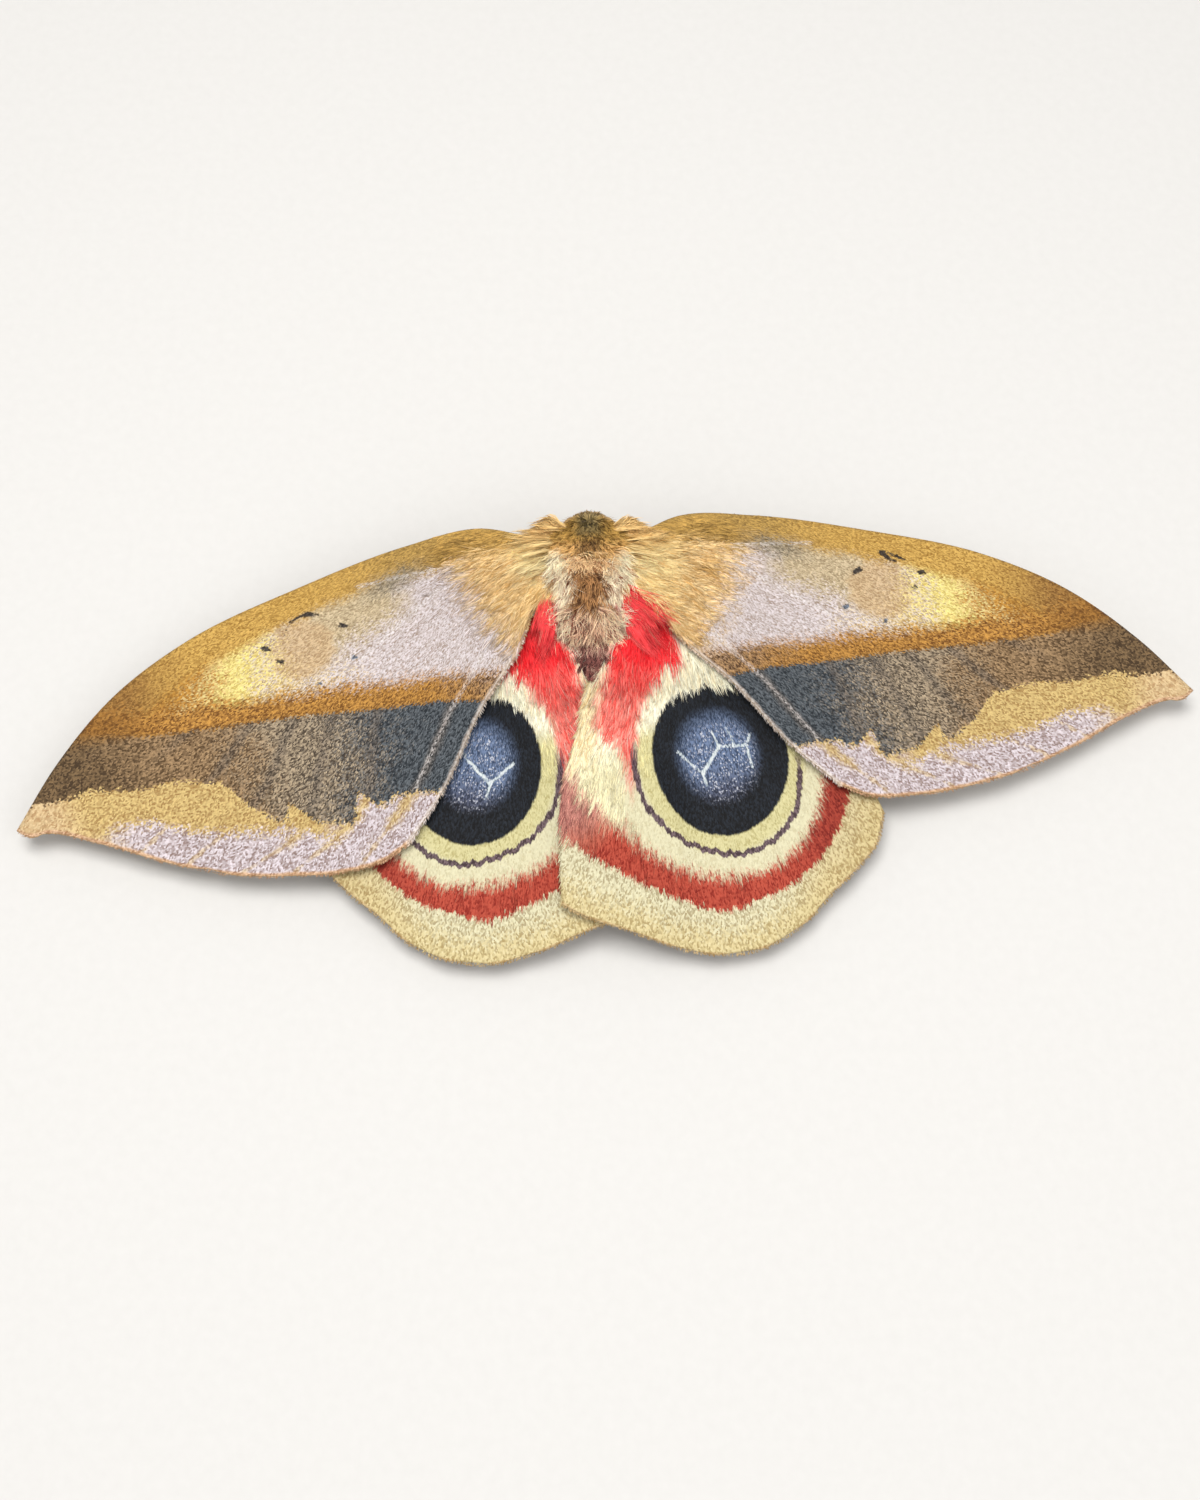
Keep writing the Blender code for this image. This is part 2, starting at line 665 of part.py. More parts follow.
def cut_clear(target, names):
    boolean(target, clearances(names), "DIFFERENCE")
    keep_largest(target)
    return target


def thorax():
    made = ellipsoid("thorax", THORAX_CENTRE, THORAX_RADII, "thorax fur", segments=16, rings=9)
    hood = ellipsoid("hood", HOOD_CENTRE, HOOD_RADII, "thorax fur", segments=12, rings=6)
    boolean(made, [hood] + thorax_locks(), "UNION")
    keep_largest(made)
    return cut_clear(made, ("wings", "legs", "antennae", "abdomen", "head", "eyes"))


def eye(side, grow=0.0, name=None):
    sign = 1 if side == "right" else -1
    centre = Vector((sign * EYE_CENTRE.x, EYE_CENTRE.y, EYE_CENTRE.z))
    radii = Vector((EYE_RADIUS * 0.8, EYE_RADIUS, EYE_RADIUS * 1.08))
    segments, rings = (10, 6) if grow else (14, 8)
    return ellipsoid(name or f"eye_{side}", centre, radii, "eye", grow, segments, rings)


def palp(side, grow=0.0, name=None):
    radii = [PALP_RADIUS + grow, PALP_RADIUS * 0.9 + grow, PALP_RADIUS * 0.5 + grow]
    sides = 6 if grow else 8
    return tube(name or f"palp_{side}", mirrored(PALP_ROUTE, side), radii, "head fur", sides)


def head_locks():
    """Short flat locks that lie over the crown and down the face."""
    draw = random.Random(11)
    locks = []
    for tilt, count in ((50, 3), (14, 4)):
        for side in spread(count):
            high, turn = math.radians(tilt), math.radians(side * 38)
            out = Vector((math.sin(turn) * math.cos(high), math.cos(turn) * math.cos(high), math.sin(high)))
            root = HEAD_CENTRE + Vector(a * b for a, b in zip(out, HEAD_RADII))
            down = Vector((0.4 * side, math.sin(high), -math.cos(high))).normalized()
            length = 0.0022 * draw.uniform(0.9, 1.1)
            route = [root - out * 0.0006 - down * 0.0004, root, root + down * length * 0.6 + out * 0.00005]
            route.append(root + down * length - out * 0.0001)
            locks.append(tube("lock", route, [0.0005, 0.00075, 0.0006, 0.0001], "head fur", 4, 0.5))
    return locks


def head():
    made = ellipsoid("head", HEAD_CENTRE, HEAD_RADII, "head fur", segments=14, rings=9)
    boolean(made, head_locks(), "UNION")
    keep_largest(made)
    return cut_clear(made, ("eyes", "palps", "antennae"))


def centre_on_origin(nodes):
    """Hangs every node on one empty, shifted so that the plan's middle is over the origin."""
    moth = bpy.data.objects.new("moth", None)
    bpy.context.scene.collection.objects.link(moth)
    corners = np.array([v.co for node in nodes for v in node.data.vertices])
    low, high = corners.min(axis=0), corners.max(axis=0)
    moth.location = (-(low[0] + high[0]) / 2, -(low[1] + high[1]) / 2, -low[2])
    for node in nodes:
        node.parent = moth


def main():
    clear_scene()
    nodes = [thorax(), head()]
    nodes.append(cut_clear(abdomen(), ("thorax",)))
    for side in ("left", "right"):
        nodes.append(cut_clear(forewing(side), ("thorax",)))
        nodes.append(cut_clear(hindwing(side), ("thorax", "abdomen")))
        nodes.append(cut_clear(antenna(side), ("head",)))
        nodes.append(eye(side))
        nodes.append(cut_clear(palp(side), ("head",)))
        for place in LEG_JOINTS:
            nodes.append(cut_clear(leg(place, side), ("thorax",)))
    centre_on_origin(nodes)


main()
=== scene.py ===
"""Looks of a bullseye moth at rest: scaled wings, a furred body, combed antennae and faceted eyes.

Sizes are in millimetres in the moth's own frame: the origin is on the floor under the middle of
the thorax, +Y runs to the head, +X to the moth's right wings and +Z up from the floor.
"""

import math

import bpy
import numpy as np
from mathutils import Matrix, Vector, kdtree


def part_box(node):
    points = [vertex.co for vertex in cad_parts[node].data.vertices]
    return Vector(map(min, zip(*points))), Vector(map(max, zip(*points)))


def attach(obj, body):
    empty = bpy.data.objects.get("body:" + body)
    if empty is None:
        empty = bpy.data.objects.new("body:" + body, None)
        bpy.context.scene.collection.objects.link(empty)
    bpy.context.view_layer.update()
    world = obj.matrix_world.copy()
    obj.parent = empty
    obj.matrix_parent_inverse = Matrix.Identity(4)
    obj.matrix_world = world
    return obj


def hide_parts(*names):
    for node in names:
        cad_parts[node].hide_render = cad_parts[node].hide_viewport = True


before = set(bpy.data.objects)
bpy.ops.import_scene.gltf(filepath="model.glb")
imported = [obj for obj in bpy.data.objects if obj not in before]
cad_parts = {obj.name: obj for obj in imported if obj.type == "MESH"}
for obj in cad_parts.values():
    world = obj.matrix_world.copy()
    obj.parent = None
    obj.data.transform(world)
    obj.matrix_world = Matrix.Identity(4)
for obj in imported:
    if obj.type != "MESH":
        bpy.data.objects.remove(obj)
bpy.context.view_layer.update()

MM = 0.001

# Body: the same places and sizes as its solids.
THORAX_CENTRE = np.array((0.0, 1.2, 6.4))
THORAX_RADII = np.array((4.8, 6.8, 4.6))
HOOD_CENTRE = np.array((0.0, 5.8, 6.7))
HOOD_RADII = np.array((3.1, 3.0, 3.1))
HEAD_CENTRE = np.array((0.0, 7.6, 5.3))
HEAD_RADII = np.array((2.6, 2.4, 2.5))
EYE_CENTRE = np.array((2.05, 8.2, 4.8))
EYE_RADII = np.array((1.0, 1.25, 1.35))
ABDOMEN_STATIONS = np.array((
    (-3.5, 5.0, 2.3), (-7.0, 3.9, 2.3), (-12.0, 3.1, 2.4), (-19.0, 2.3, 2.4), (-23.5, 1.8, 1.9),
    (-25.5, 1.7, 1.3),
))
ABDOMEN_RINGS = 8
ABDOMEN_FRONT = 3.5
ABDOMEN_LENGTH = 22.0
# The skin lies this deep inside the solids, under the coat, and the hair is rooted in it.
SKIN_DEPTH = 0.35
THORAX_SKIN = THORAX_RADII - SKIN_DEPTH
HOOD_SKIN = HOOD_RADII - SKIN_DEPTH
HEAD_SKIN = HEAD_RADII - SKIN_DEPTH * 0.5
ABDOMEN_SKIN_DEPTH = SKIN_DEPTH * 0.6
# A root is hidden when it lies within this share of another skin's size.
BURIED_SHARE = 0.985
SKIN_VOXEL = 0.17

# Wings: one dome that all four lie on, the tent over the abdomen and the lift of the upper wing.
ROOT_LEVEL = 7.6
MARGIN_LEVEL = 2.3
DOME_REACH = 27.0
DOME_Y = -1.0
FOREWING_RISE = 0.6
HINDWING_RISE = -0.6
TENT_RISE = 0.9
TENT_WIDTH = 4.2
OVERLAP_LIFT = 1.12
MEMBRANE = 0.52
ROOT_THICKNESS = 0.8
HINGE_THICKNESS = 0.62
EDGE_THICKNESS = 0.2
# How far hair that lies on a wing stays above the middle of its thickness.
HAIR_CLEARANCE = 0.40
SHOULDER_CLEARANCE = 0.45
SCALLOP = 0.28
WING_ROWS = 116
WING_COLUMNS = 100

# Wing outlines: s runs from the hinge to the tip and c to the rear.
FOREWING = {
    "pivot": (5.0, 1.0),
    "sweep": {"right": 9.9, "left": 25.9},
    "drawn_in": {"right": 0.09, "left": 0.0},
    "costa": (
        (-3.0, -3.6), (-0.8, -5.3), (2.6, -8.2), (10.4, -10.4), (22.0, -11.6), (34.4, -11.5),
        (43.2, -9.2), (51.2, -4.6), (57.1, 0.3),
    ),
    "margin": (
        (57.1, 0.3), (56.5, 1.3), (54.2, 2.1), (50.7, 4.8), (45.2, 9.8), (40.4, 13.6), (34.2, 16.9),
        (30.0, 18.6), (26.2, 19.5), (23.0, 18.9),
    ),
    "inner": ((-2.2, 1.2), (1.0, 2.2), (5.4, 6.2), (11.0, 9.9), (17.5, 15.4), (23.0, 18.9)),
    "vein_ends": (0.07, 0.20, 0.32, 0.44, 0.57, 0.70, 0.86),
}
HINDWING = {
    "pivot": (2.5, -3.0),
    "sweep": {"right": 0.0, "left": 6.0},
    "drawn_in": {"right": 0.0, "left": 0.0},
    "costa": ((-0.8, -2.2), (5.0, 0.2), (13.5, 5.6), (21.5, 12.2), (25.6, 16.8), (26.7, 19.2)),
    "margin": (
        (26.7, 19.2), (26.0, 22.1), (24.0, 24.8), (21.3, 27.5), (19.1, 30.0), (16.0, 32.4),
        (11.2, 33.8), (6.0, 33.3), (1.0, 31.9), (-3.6, 30.4), (-5.1, 29.4),
    ),
    "inner": (
        (-1.8, 1.4), (-1.5, 4.4), (-2.5, 7.8), (-3.6, 13.0), (-4.6, 16.5), (-5.2, 22.2), (-5.1, 29.4),
    ),
    "vein_ends": (0.09, 0.22, 0.35, 0.48, 0.61, 0.74, 0.88),
}
# Veins of the fore wing from the hinge, each without its last point, which is its end on the margin.
FOREWING_VEINS = (
    ((0.0, -3.0), (9.0, -6.2), (18.0, -8.0), (27.0, -7.6), (38.0, -5.8), (48.0, -3.0)),
    ((24.0, -6.2), (34.0, -3.2), (44.0, 0.4)),
    ((23.0, -4.2), (31.0, -0.5), (38.0, 4.0)),
    ((22.0, -2.0), (28.0, 1.8), (34.0, 7.6)),
    ((0.0, -1.8), (9.4, -3.7), (15.0, -2.6), (19.7, -0.6), (23.5, 2.4), (28.0, 8.0), (31.0, 12.5)),
    ((13.0, -2.8), (17.5, 1.5), (21.5, 7.0), (25.0, 13.0)),
    ((0.0, 0.5), (5.3, 2.9), (10.2, 5.4), (14.5, 9.2), (19.0, 13.4)),
)
# Where the hind wing's veins leave the base, as a share of the way to the margin.
HINDWING_VEIN_STARTS = (0.02, 0.40, 0.36, 0.36, 0.02, 0.42, 0.02)

# Pattern of the fore wing. Lines across it are given as c at s.
POSTMEDIAN_LINE = (
    (6.0, 11.0), (10.5, 9.3), (14.6, 7.2), (19.4, 5.3), (24.0, 3.3), (28.5, 1.4), (34.8, -0.8),
    (41.6, -3.2), (47.0, -5.7), (56.0, -10.0),
)
ZIGZAG_LINE = (
    (16.0, 17.0), (19.0, 15.2), (22.2, 14.0), (24.3, 13.8), (25.4, 12.0), (26.5, 13.9), (28.8, 13.6),
    (30.6, 12.2), (31.7, 9.8), (32.8, 11.3), (34.4, 9.9), (35.8, 7.6), (36.6, 5.4), (38.2, 4.2),
    (41.2, 2.4), (44.5, 1.8), (49.1, -0.3), (52.0, -0.5), (57.0, -3.0),
)
LILAC_MARGIN_LINE = (
    (16.0, 18.0), (22.6, 15.9), (25.3, 14.9), (29.7, 14.6), (32.7, 12.4), (37.9, 10.0),
    (40.7, 8.5), (44.8, 5.4), (48.0, 4.4), (57.0, 4.4),
)
# Dark spots round the cell's end of each wing: from, to and half width.
CELL_SPOTS = {
    "right": (
        ((23.9, -9.4), (25.0, -8.7), 0.26), ((24.6, -9.5), (26.6, -9.0), 0.10),
        ((25.0, -8.7), (25.6, -8.6), 0.14), ((21.5, -6.3), (22.1, -6.8), 0.27),
        ((28.2, -7.8), (28.7, -8.0), 0.24), ((27.7, -5.8), (28.1, -6.1), 0.22),
        ((21.1, -2.0), (21.4, -2.2), 0.22), ((25.2, -1.3), (25.4, -1.5), 0.18),
    ),
    "left": (
        ((21.5, -7.5), (22.6, -8.5), 0.22), ((22.6, -8.5), (24.4, -8.3), 0.14),
        ((24.4, -8.3), (25.6, -6.9), 0.08), ((19.5, -5.1), (19.9, -5.5), 0.25),
        ((27.5, -6.6), (27.9, -6.9), 0.25), ((26.6, -4.5), (27.0, -4.8), 0.23),
        ((19.9, -1.2), (20.2, -1.5), 0.22), ((24.2, -0.3), (24.4, -0.5), 0.20),
    ),
}
# Painted highlight: pale streaks where light catches the vein ridges of the fore wing, as from, to and half
# width.
VEIN_HIGHLIGHT_LINES = (
    ((8.4, -6.1), (16.7, -8.6), 0.16), ((9.4, -3.9), (19.7, -0.8), 0.12),
    ((6.4, 3.4), (14.0, 8.8), 0.14), ((14.0, 8.8), (20.4, 14.4), 0.13),
)

# Pattern of the hind wing.
SPOT_CENTRE = (10.5, 14.2)
SPOT_RADII = (6.8, 7.8)
DISC_CENTRE = (10.5, 14.5)
DISC_RADII = (4.6, 5.2)
# Rings round the spot, as radius from the disc's centre at an angle from the wing's own s axis.
PURPLE_RING = (
    (-20.0, 7.9), (0.0, 7.8), (18.0, 8.2), (38.0, 8.9), (58.0, 9.3), (76.0, 9.5), (96.0, 9.1),
    (118.0, 9.1), (145.0, 9.0), (165.0, 8.7), (185.0, 8.5), (200.0, 8.5),
)
RED_INNER = (
    (-30.0, 10.2), (11.0, 10.2), (40.0, 10.9), (61.0, 11.3), (84.0, 11.3), (101.0, 11.3),
    (122.0, 11.7), (142.0, 12.0), (166.0, 14.0), (200.0, 16.0),
)
RED_OUTER = (
    (-30.0, 13.0), (22.6, 13.0), (43.5, 13.4), (62.0, 13.8), (77.0, 14.2), (90.0, 14.9),
    (106.0, 14.5), (127.0, 15.1), (149.0, 17.0), (170.0, 18.0), (200.0, 18.0),
)
# Red hair from the hinge: its edges, as s at c.
RED_HAIR_EDGES = (
    (-4.0, 0.6, 3.4), (-1.6, 0.9, 5.4), (1.2, 0.5, 6.2), (3.3, -0.4, 6.6), (4.4, -0.7, 5.2),
    (5.9, -0.8, 4.2), (8.4, -1.4, 3.0), (10.7, -1.9, 2.5), (12.4, -1.6, 2.4), (13.3, 0.2, 2.3),
    (15.0, 0.7, 2.2), (16.6, 1.0, 2.1), (18.5, 1.3, 2.0), (20.0, 1.7, 1.9), (22.0, 2.6, 1.0),
    (40.0, 3.0, -3.0),
)
# The place that scales and hair of the hind wing fan out from.
HINDWING_COMB_SOURCE = (4.0, -9.0)
# White lines in the disc of each wing: from, to and half width.
DISC_LINES = {
    "right": (
        ((6.2, 14.0), (8.7, 15.9), 0.05), ((8.7, 15.9), (9.1, 17.0), 0.05),
        ((8.7, 15.9), (10.4, 13.1), 0.08), ((10.4, 13.1), (9.6, 11.6), 0.02),
        ((10.4, 13.1), (13.1, 12.8), 0.07), ((11.9, 12.7), (11.0, 10.9), 0.0),
        ((13.1, 12.8), (13.5, 11.6), 0.03), ((13.1, 12.8), (13.7, 15.2), 0.02),
    ),
    "left": (
        ((11.4, 12.6), (10.4, 14.2), 0.06), ((10.4, 14.2), (8.9, 16.1), 0.10),
        ((8.9, 16.1), (6.4, 14.4), 0.05), ((8.9, 16.1), (9.5, 17.6), 0.03),
        ((11.4, 12.6), (13.2, 12.0), 0.03),
    ),
}

LEG_JOINTS = {
    "front": ((2.0, 5.2, 3.4), (5.4, 7.8, 3.8), (7.2, 9.0, 1.0), (8.6, 10.4, 0.3)),
    "middle": ((2.6, 1.2, 3.0), (7.4, 1.6, 4.2), (10.4, 0.4, 1.0), (12.8, -0.8, 0.3)),
    "hind": ((2.4, -2.4, 3.4), (6.6, -6.8, 4.0), (8.4, -11.8, 1.0), (9.6, -15.2, 0.3)),
}
ANTENNA_ROUTE = (
    (1.4, 8.8, 6.8), (2.1, 8.3, 7.3), (2.9, 7.3, 7.3), (3.8, 6.1, 6.9), (5.2, 4.7, 6.5),
    (7.6, 2.6, 6.3), (9.6, -0.4, 6.0),
)
PALP_ROUTE = ((0.8, 8.8, 3.6), (1.0, 10.0, 3.0), (1.0, 10.8, 3.2))

SIDES = {"right": 1, "left": -1}

# The camera's place, fitted to the photograph.
CAMERA_TILT = 67.0
CAMERA_AWAY = 190.0
CAMERA_TARGET = np.array((1.1, -15.6, 3.0))
CAMERA_LENS = 45.6
CAMERA_SENSOR = 36.0


def middle_of_moth():
    """Where the moth's own origin lies in the frame, from its two eyes."""
    right_low, right_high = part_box("eye_right")
    left_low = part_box("eye_left")[0]
    ahead = (right_low.y + right_high.y) / 2 - EYE_CENTRE[1] * MM
    return np.array(((left_low.x + right_high.x) / 2, ahead, 0.0))


ORIGIN = middle_of_moth()


# Numbers and shapes

def smooth(low, high, value):
    """0 below low, 1 above high, and an easy bend between them."""
    share = np.clip((np.asarray(value, float) - low) / (high - low), 0, 1)
    return share * share * (3 - 2 * share)


def unit(vectors):
    return vectors / np.maximum(np.linalg.norm(vectors, axis=-1, keepdims=True), 1e-9)


def bent(t, span, start, end, leaving, arriving):
    """Values at the shares t of spans between two knots, with the slopes at both of them."""
    return (
        (2 * t**3 - 3 * t**2 + 1) * start
        + (t**3 - 2 * t**2 + t) * span * leaving
        + (3 * t**2 - 2 * t**3) * end
        + (t**3 - t**2) * span * arriving
    )


def along(points, shares):
    """Points at those shares of the length of a smooth curve through the given points."""
    knots = np.array(points, float)
    steps = np.linalg.norm(np.diff(knots, axis=0), axis=1)
    places = np.concatenate([[0.0], np.cumsum(steps)])
    slopes = np.gradient(knots, places, axis=0)
    at = np.clip(np.asarray(shares, float), 0, 1) * places[-1]
    i = np.clip(np.searchsorted(places, at, side="right") - 1, 0, len(steps) - 1)
    t = ((at - places[i]) / steps[i])[:, None]
    return bent(t, steps[i][:, None], knots[i], knots[i + 1], slopes[i], slopes[i + 1])


def curve_value(pairs, at):
    """The second number of the pairs at that first number, on a smooth curve."""
    knots = np.array(pairs, float)
    slopes = np.gradient(knots[:, 1], knots[:, 0])
    i = np.clip(np.searchsorted(knots[:, 0], at) - 1, 0, len(knots) - 2)
    span = knots[i + 1, 0] - knots[i, 0]
    t = np.clip((at - knots[i, 0]) / span, 0, 1)
    return bent(t, span, knots[i, 1], knots[i + 1, 1], slopes[i], slopes[i + 1])


def distance_to(places, line):
    """Distance in plan from each place to a line of points."""
    line = np.asarray(line, float)
    least = np.full(len(places), 1e9)
    for a, b in zip(line, line[1:]):
        step = b - a
        share = np.clip(((places - a) @ step) / max(step @ step, 1e-12), 0, 1)
        gap = np.linalg.norm(places - a - share[:, None] * step, axis=1)
        least = np.minimum(least, gap)
    return least


def vectors(*parts):
    """One vector for each place from its three parts, which are numbers or rows of numbers."""
    return np.stack(np.broadcast_arrays(*parts), -1)


def write_field(mesh, name, values):
    layer = mesh.attributes.new(name, "FLOAT_VECTOR", "POINT")
    layer.data.foreach_set("vector", np.asarray(values, np.float32).ravel())


def write_bake_map(mesh, corner_places):
    layer = mesh.uv_layers.new(name="OFBake")
    layer.uv.foreach_set("vector", corner_places.astype(np.float32).ravel())


def added_object(name, data):
    made = bpy.data.objects.new(name, data)
    bpy.context.scene.collection.objects.link(made)
    return made


def mesh_object(name, points, faces, finish, fields=None, bake_map=None):
    """A piece from points in mm and faces of three or four corners, with fields on its points."""
    mesh = bpy.data.meshes.new(name)
    places = np.asarray(points, float) * MM + ORIGIN
    mesh.vertices.add(len(places))
    mesh.vertices.foreach_set("co", places.astype(np.float32).ravel())
    groups = faces if isinstance(faces, list) else [faces]
    corners = np.concatenate([g.ravel() for g in groups]).astype(np.int32)
    totals = np.concatenate([np.full(len(g), g.shape[1]) for g in groups]).astype(np.int32)
    starts = np.concatenate([[0], np.cumsum(totals)[:-1]]).astype(np.int32)
    mesh.loops.add(len(corners))
    mesh.loops.foreach_set("vertex_index", corners)
    mesh.polygons.add(len(totals))
    mesh.polygons.foreach_set("loop_start", starts)
    mesh.polygons.foreach_set("use_smooth", np.full(len(totals), True))
    mesh.update(calc_edges=True)
    for key, values in (fields or {}).items():
        write_field(mesh, key, values)
    if bake_map is not None:
        write_bake_map(mesh, bake_map[corners])
    mesh.materials.append(finish)
    return added_object(name, mesh)


def ellipsoid(centre, radii, columns=48, rings=28):
    """Points and quads of a closed ellipsoid with one point at each pole."""
    turns = np.linspace(0, 2 * math.pi, columns, endpoint=False)
    tilts = np.linspace(-math.pi / 2, math.pi / 2, rings + 2)[1:-1]
    tilt, turn = np.meshgrid(tilts, turns, indexing="ij")
    ball = np.stack([np.cos(tilt) * np.cos(turn), np.cos(tilt) * np.sin(turn), np.sin(tilt)], -1)
    points = np.concatenate([ball.reshape(-1, 3), [(0, 0, -1), (0, 0, 1)]]) * radii + centre
    return points, ring_faces(rings, columns)


def ring_faces(rings, columns):
    """Faces of a closed tube of rings. Its ends are fans round a point each, added after the rings."""
    quads, fans = [], []
    for i in range(rings - 1):
        for k in range(columns):
            a, b = i * columns + k, i * columns + (k + 1) % columns
            quads.append((a, b, b + columns, a + columns))
    last = (rings - 1) * columns
    low, high = rings * columns, rings * columns + 1
    for k in range(columns):
        fans.append(((k + 1) % columns, k, low))
        fans.append((last + k, last + (k + 1) % columns, high))
    return [np.array(quads), np.array(fans)]


def tube(route, radii, columns, floor=None):
    """Points and faces of a closed tube along a route in mm, flattened where it meets a floor."""
    route = np.asarray(route, float)
    ahead = unit(np.gradient(route, axis=0))
    across = np.cross(ahead, (0, 0, 1.0))
    weak = np.linalg.norm(across, axis=1) < 1e-4
    across[weak] = (1, 0, 0)
    across = unit(across)
    upward = np.cross(across, ahead)
    turns = np.linspace(0, 2 * math.pi, columns, endpoint=False)
    radii = np.asarray(radii, float)[:, None, None]
    points = route[:, None] + radii * (
        np.cos(turns)[None, :, None] * across[:, None]
        + np.sin(turns)[None, :, None] * upward[:, None]
    )
    points = np.concatenate([points.reshape(-1, 3), route[:1], route[-1:]])
    if floor is not None:
        points[:, 2] = np.maximum(points[:, 2], floor)
    return points, ring_faces(len(route), columns)


def joined(shapes):
    """Points and faces of several shapes as one."""
    points, quads, fans, start = [], [], [], 0
    for shape_points, (shape_quads, shape_fans) in shapes:
        points.append(shape_points)
        quads.append(shape_quads + start)
        fans.append(shape_fans + start)
        start += len(shape_points)
    return np.concatenate(points), [np.concatenate(quads), np.concatenate(fans)]


# Wings

class Wing:
    """One wing, in its own plan. The pattern's places are those of a wing that isn't drawn in."""

    def __init__(self, pair, side):
        self.pair, self.side, self.hand = pair, side, SIDES[side]
        self.shape = FOREWING if pair == "forewing" else HINDWING
        sweep = math.radians(self.shape["sweep"][side])
        self.cos, self.sin = math.cos(sweep), math.sin(sweep)
        self.costa = along(self.shape["costa"], np.linspace(0, 1, 60))
        self.margin = along(self.shape["margin"], np.linspace(0, 1, 80))
        self.inner = along(self.shape["inner"], np.linspace(0, 1, 50))
        self.veins = self.vein_lines()

    def plan(self, u, v):
        """Places (s, c) at the share u from hinge to margin and v from front to rear."""
        costa, margin, inner = self.shape["costa"], self.shape["margin"], self.shape["inner"]
        corners = np.array([costa[0], inner[0], margin[0], margin[-1]], float)
        a, b, edge = along(costa, u), along(inner, u), along(margin, v)
        u, v = np.asarray(u)[:, None], np.asarray(v)[:, None]
        hinge = corners[0] + v * (corners[1] - corners[0])
        flat = (1 - u) * hinge + u * ((1 - v) * corners[2] + v * corners[3])
        return (1 - v) * a + v * b + (1 - u) * hinge + u * edge - flat

    def vein_lines(self):
        ends = self.shape["vein_ends"]
        if self.pair == "forewing":
            tips = along(self.shape["margin"], ends)
            lines = [np.vstack([points, tip]) for points, tip in zip(FOREWING_VEINS, tips)]
            return [along(line, np.linspace(0, 1, 24)) for line in lines]
        spans = [np.linspace(start, 1, 24) for start in HINDWING_VEIN_STARTS]
        return [self.plan(span, np.full(24, v)) for span, v in zip(spans, ends)]

    def in_plan(self, places):
        """x and y of places in the wing."""
        s, c = places[:, 0], places[:, 1]
        c = np.where(c > 0, c * (1 - self.shape["drawn_in"][self.side]), c)
        pivot = self.shape["pivot"]
        x = self.hand * (pivot[0] + s * self.cos - c * self.sin)
        return x, pivot[1] - s * self.sin - c * self.cos

    def level(self, x, y):
        """Middle of the solid wing's thickness."""
        if self.pair == "forewing":
            return dome(x, y) + FOREWING_RISE
        tent = TENT_RISE * np.exp(-((x / TENT_WIDTH) ** 2)) * smooth(7.0, 11.0, -y)
        level = dome(x, y) + HINDWING_RISE + tent
        if self.side == "right":
            level = level + OVERLAP_LIFT * (1 - smooth(6.0, 11.5, x)) * smooth(4.5, 10.5, -y)
        return level

    def flat_share(self, places):
        """Places as shares of the wing's own box in plan."""
        rim = np.concatenate([self.costa, self.margin, self.inner])
        low, high = rim.min(axis=0), rim.max(axis=0)
        return np.clip((places - low) / (high - low), 0, 1)

    def top(self, places, u, relief=0.0):
        """Points on the upper face."""
        x, y = self.in_plan(places)
        half = (MEMBRANE + (ROOT_THICKNESS - MEMBRANE) * (1 - smooth(0.0, 0.3, u))) / 2
        return vectors(x, y, self.level(x, y) + half + relief)

    def vein_distance(self, places):
        return np.min([distance_to(places, line) for line in self.veins], axis=0)

    def fields(self, places, face):
        """What the wing's finish reads at those places."""
        make = forewing_fields if self.pair == "forewing" else hindwing_fields
        return make(self, places, face)


def dome(x, y):
    """Height of the dome that all the wings lie on."""
    return MARGIN_LEVEL + (ROOT_LEVEL - MARGIN_LEVEL) * np.exp(
        -(np.hypot(x, y - DOME_Y) / DOME_REACH) ** 2
    )


def lie_of(places, source, girth):
    """How far along and across the lie of the scales, which fan out from a source."""
    away = places - np.array(source)
    return vectors(np.hypot(*away.T), np.arctan2(away[:, 1], away[:, 0]) * girth, 0.0)


def forewing_fields(wing, places, face):
    """Place, lie, distance from the three edges, and places relative to the bands and veins."""
    s, c = places[:, 0], places[:, 1]
    line = (c - curve_value(POSTMEDIAN_LINE, s)) * 0.93
    zigzag = (c - curve_value(ZIGZAG_LINE, s)) * 0.85
    lilac = (c - curve_value(LILAC_MARGIN_LINE, s)) * 0.85
    return {
        "place": vectors(s, c, face),
        "lie": lie_of(places, (-16.0, -10.0), 34.0),
        "edges": vectors(*[distance_to(places, edge) for edge in (wing.costa, wing.margin, wing.inner)]),
        "bands": vectors(line, zigzag, wing.vein_distance(places)),
        "patches": vectors(lilac, segments_distance(places, CELL_SPOTS[wing.side]),
                           segments_distance(places, VEIN_HIGHLIGHT_LINES)),
    }


def segments_distance(places, segments):
    """Distance outside the nearest of some short thick lines."""
    return np.min([distance_to(places, (a, b)) - half for a, b, half in segments], axis=0)


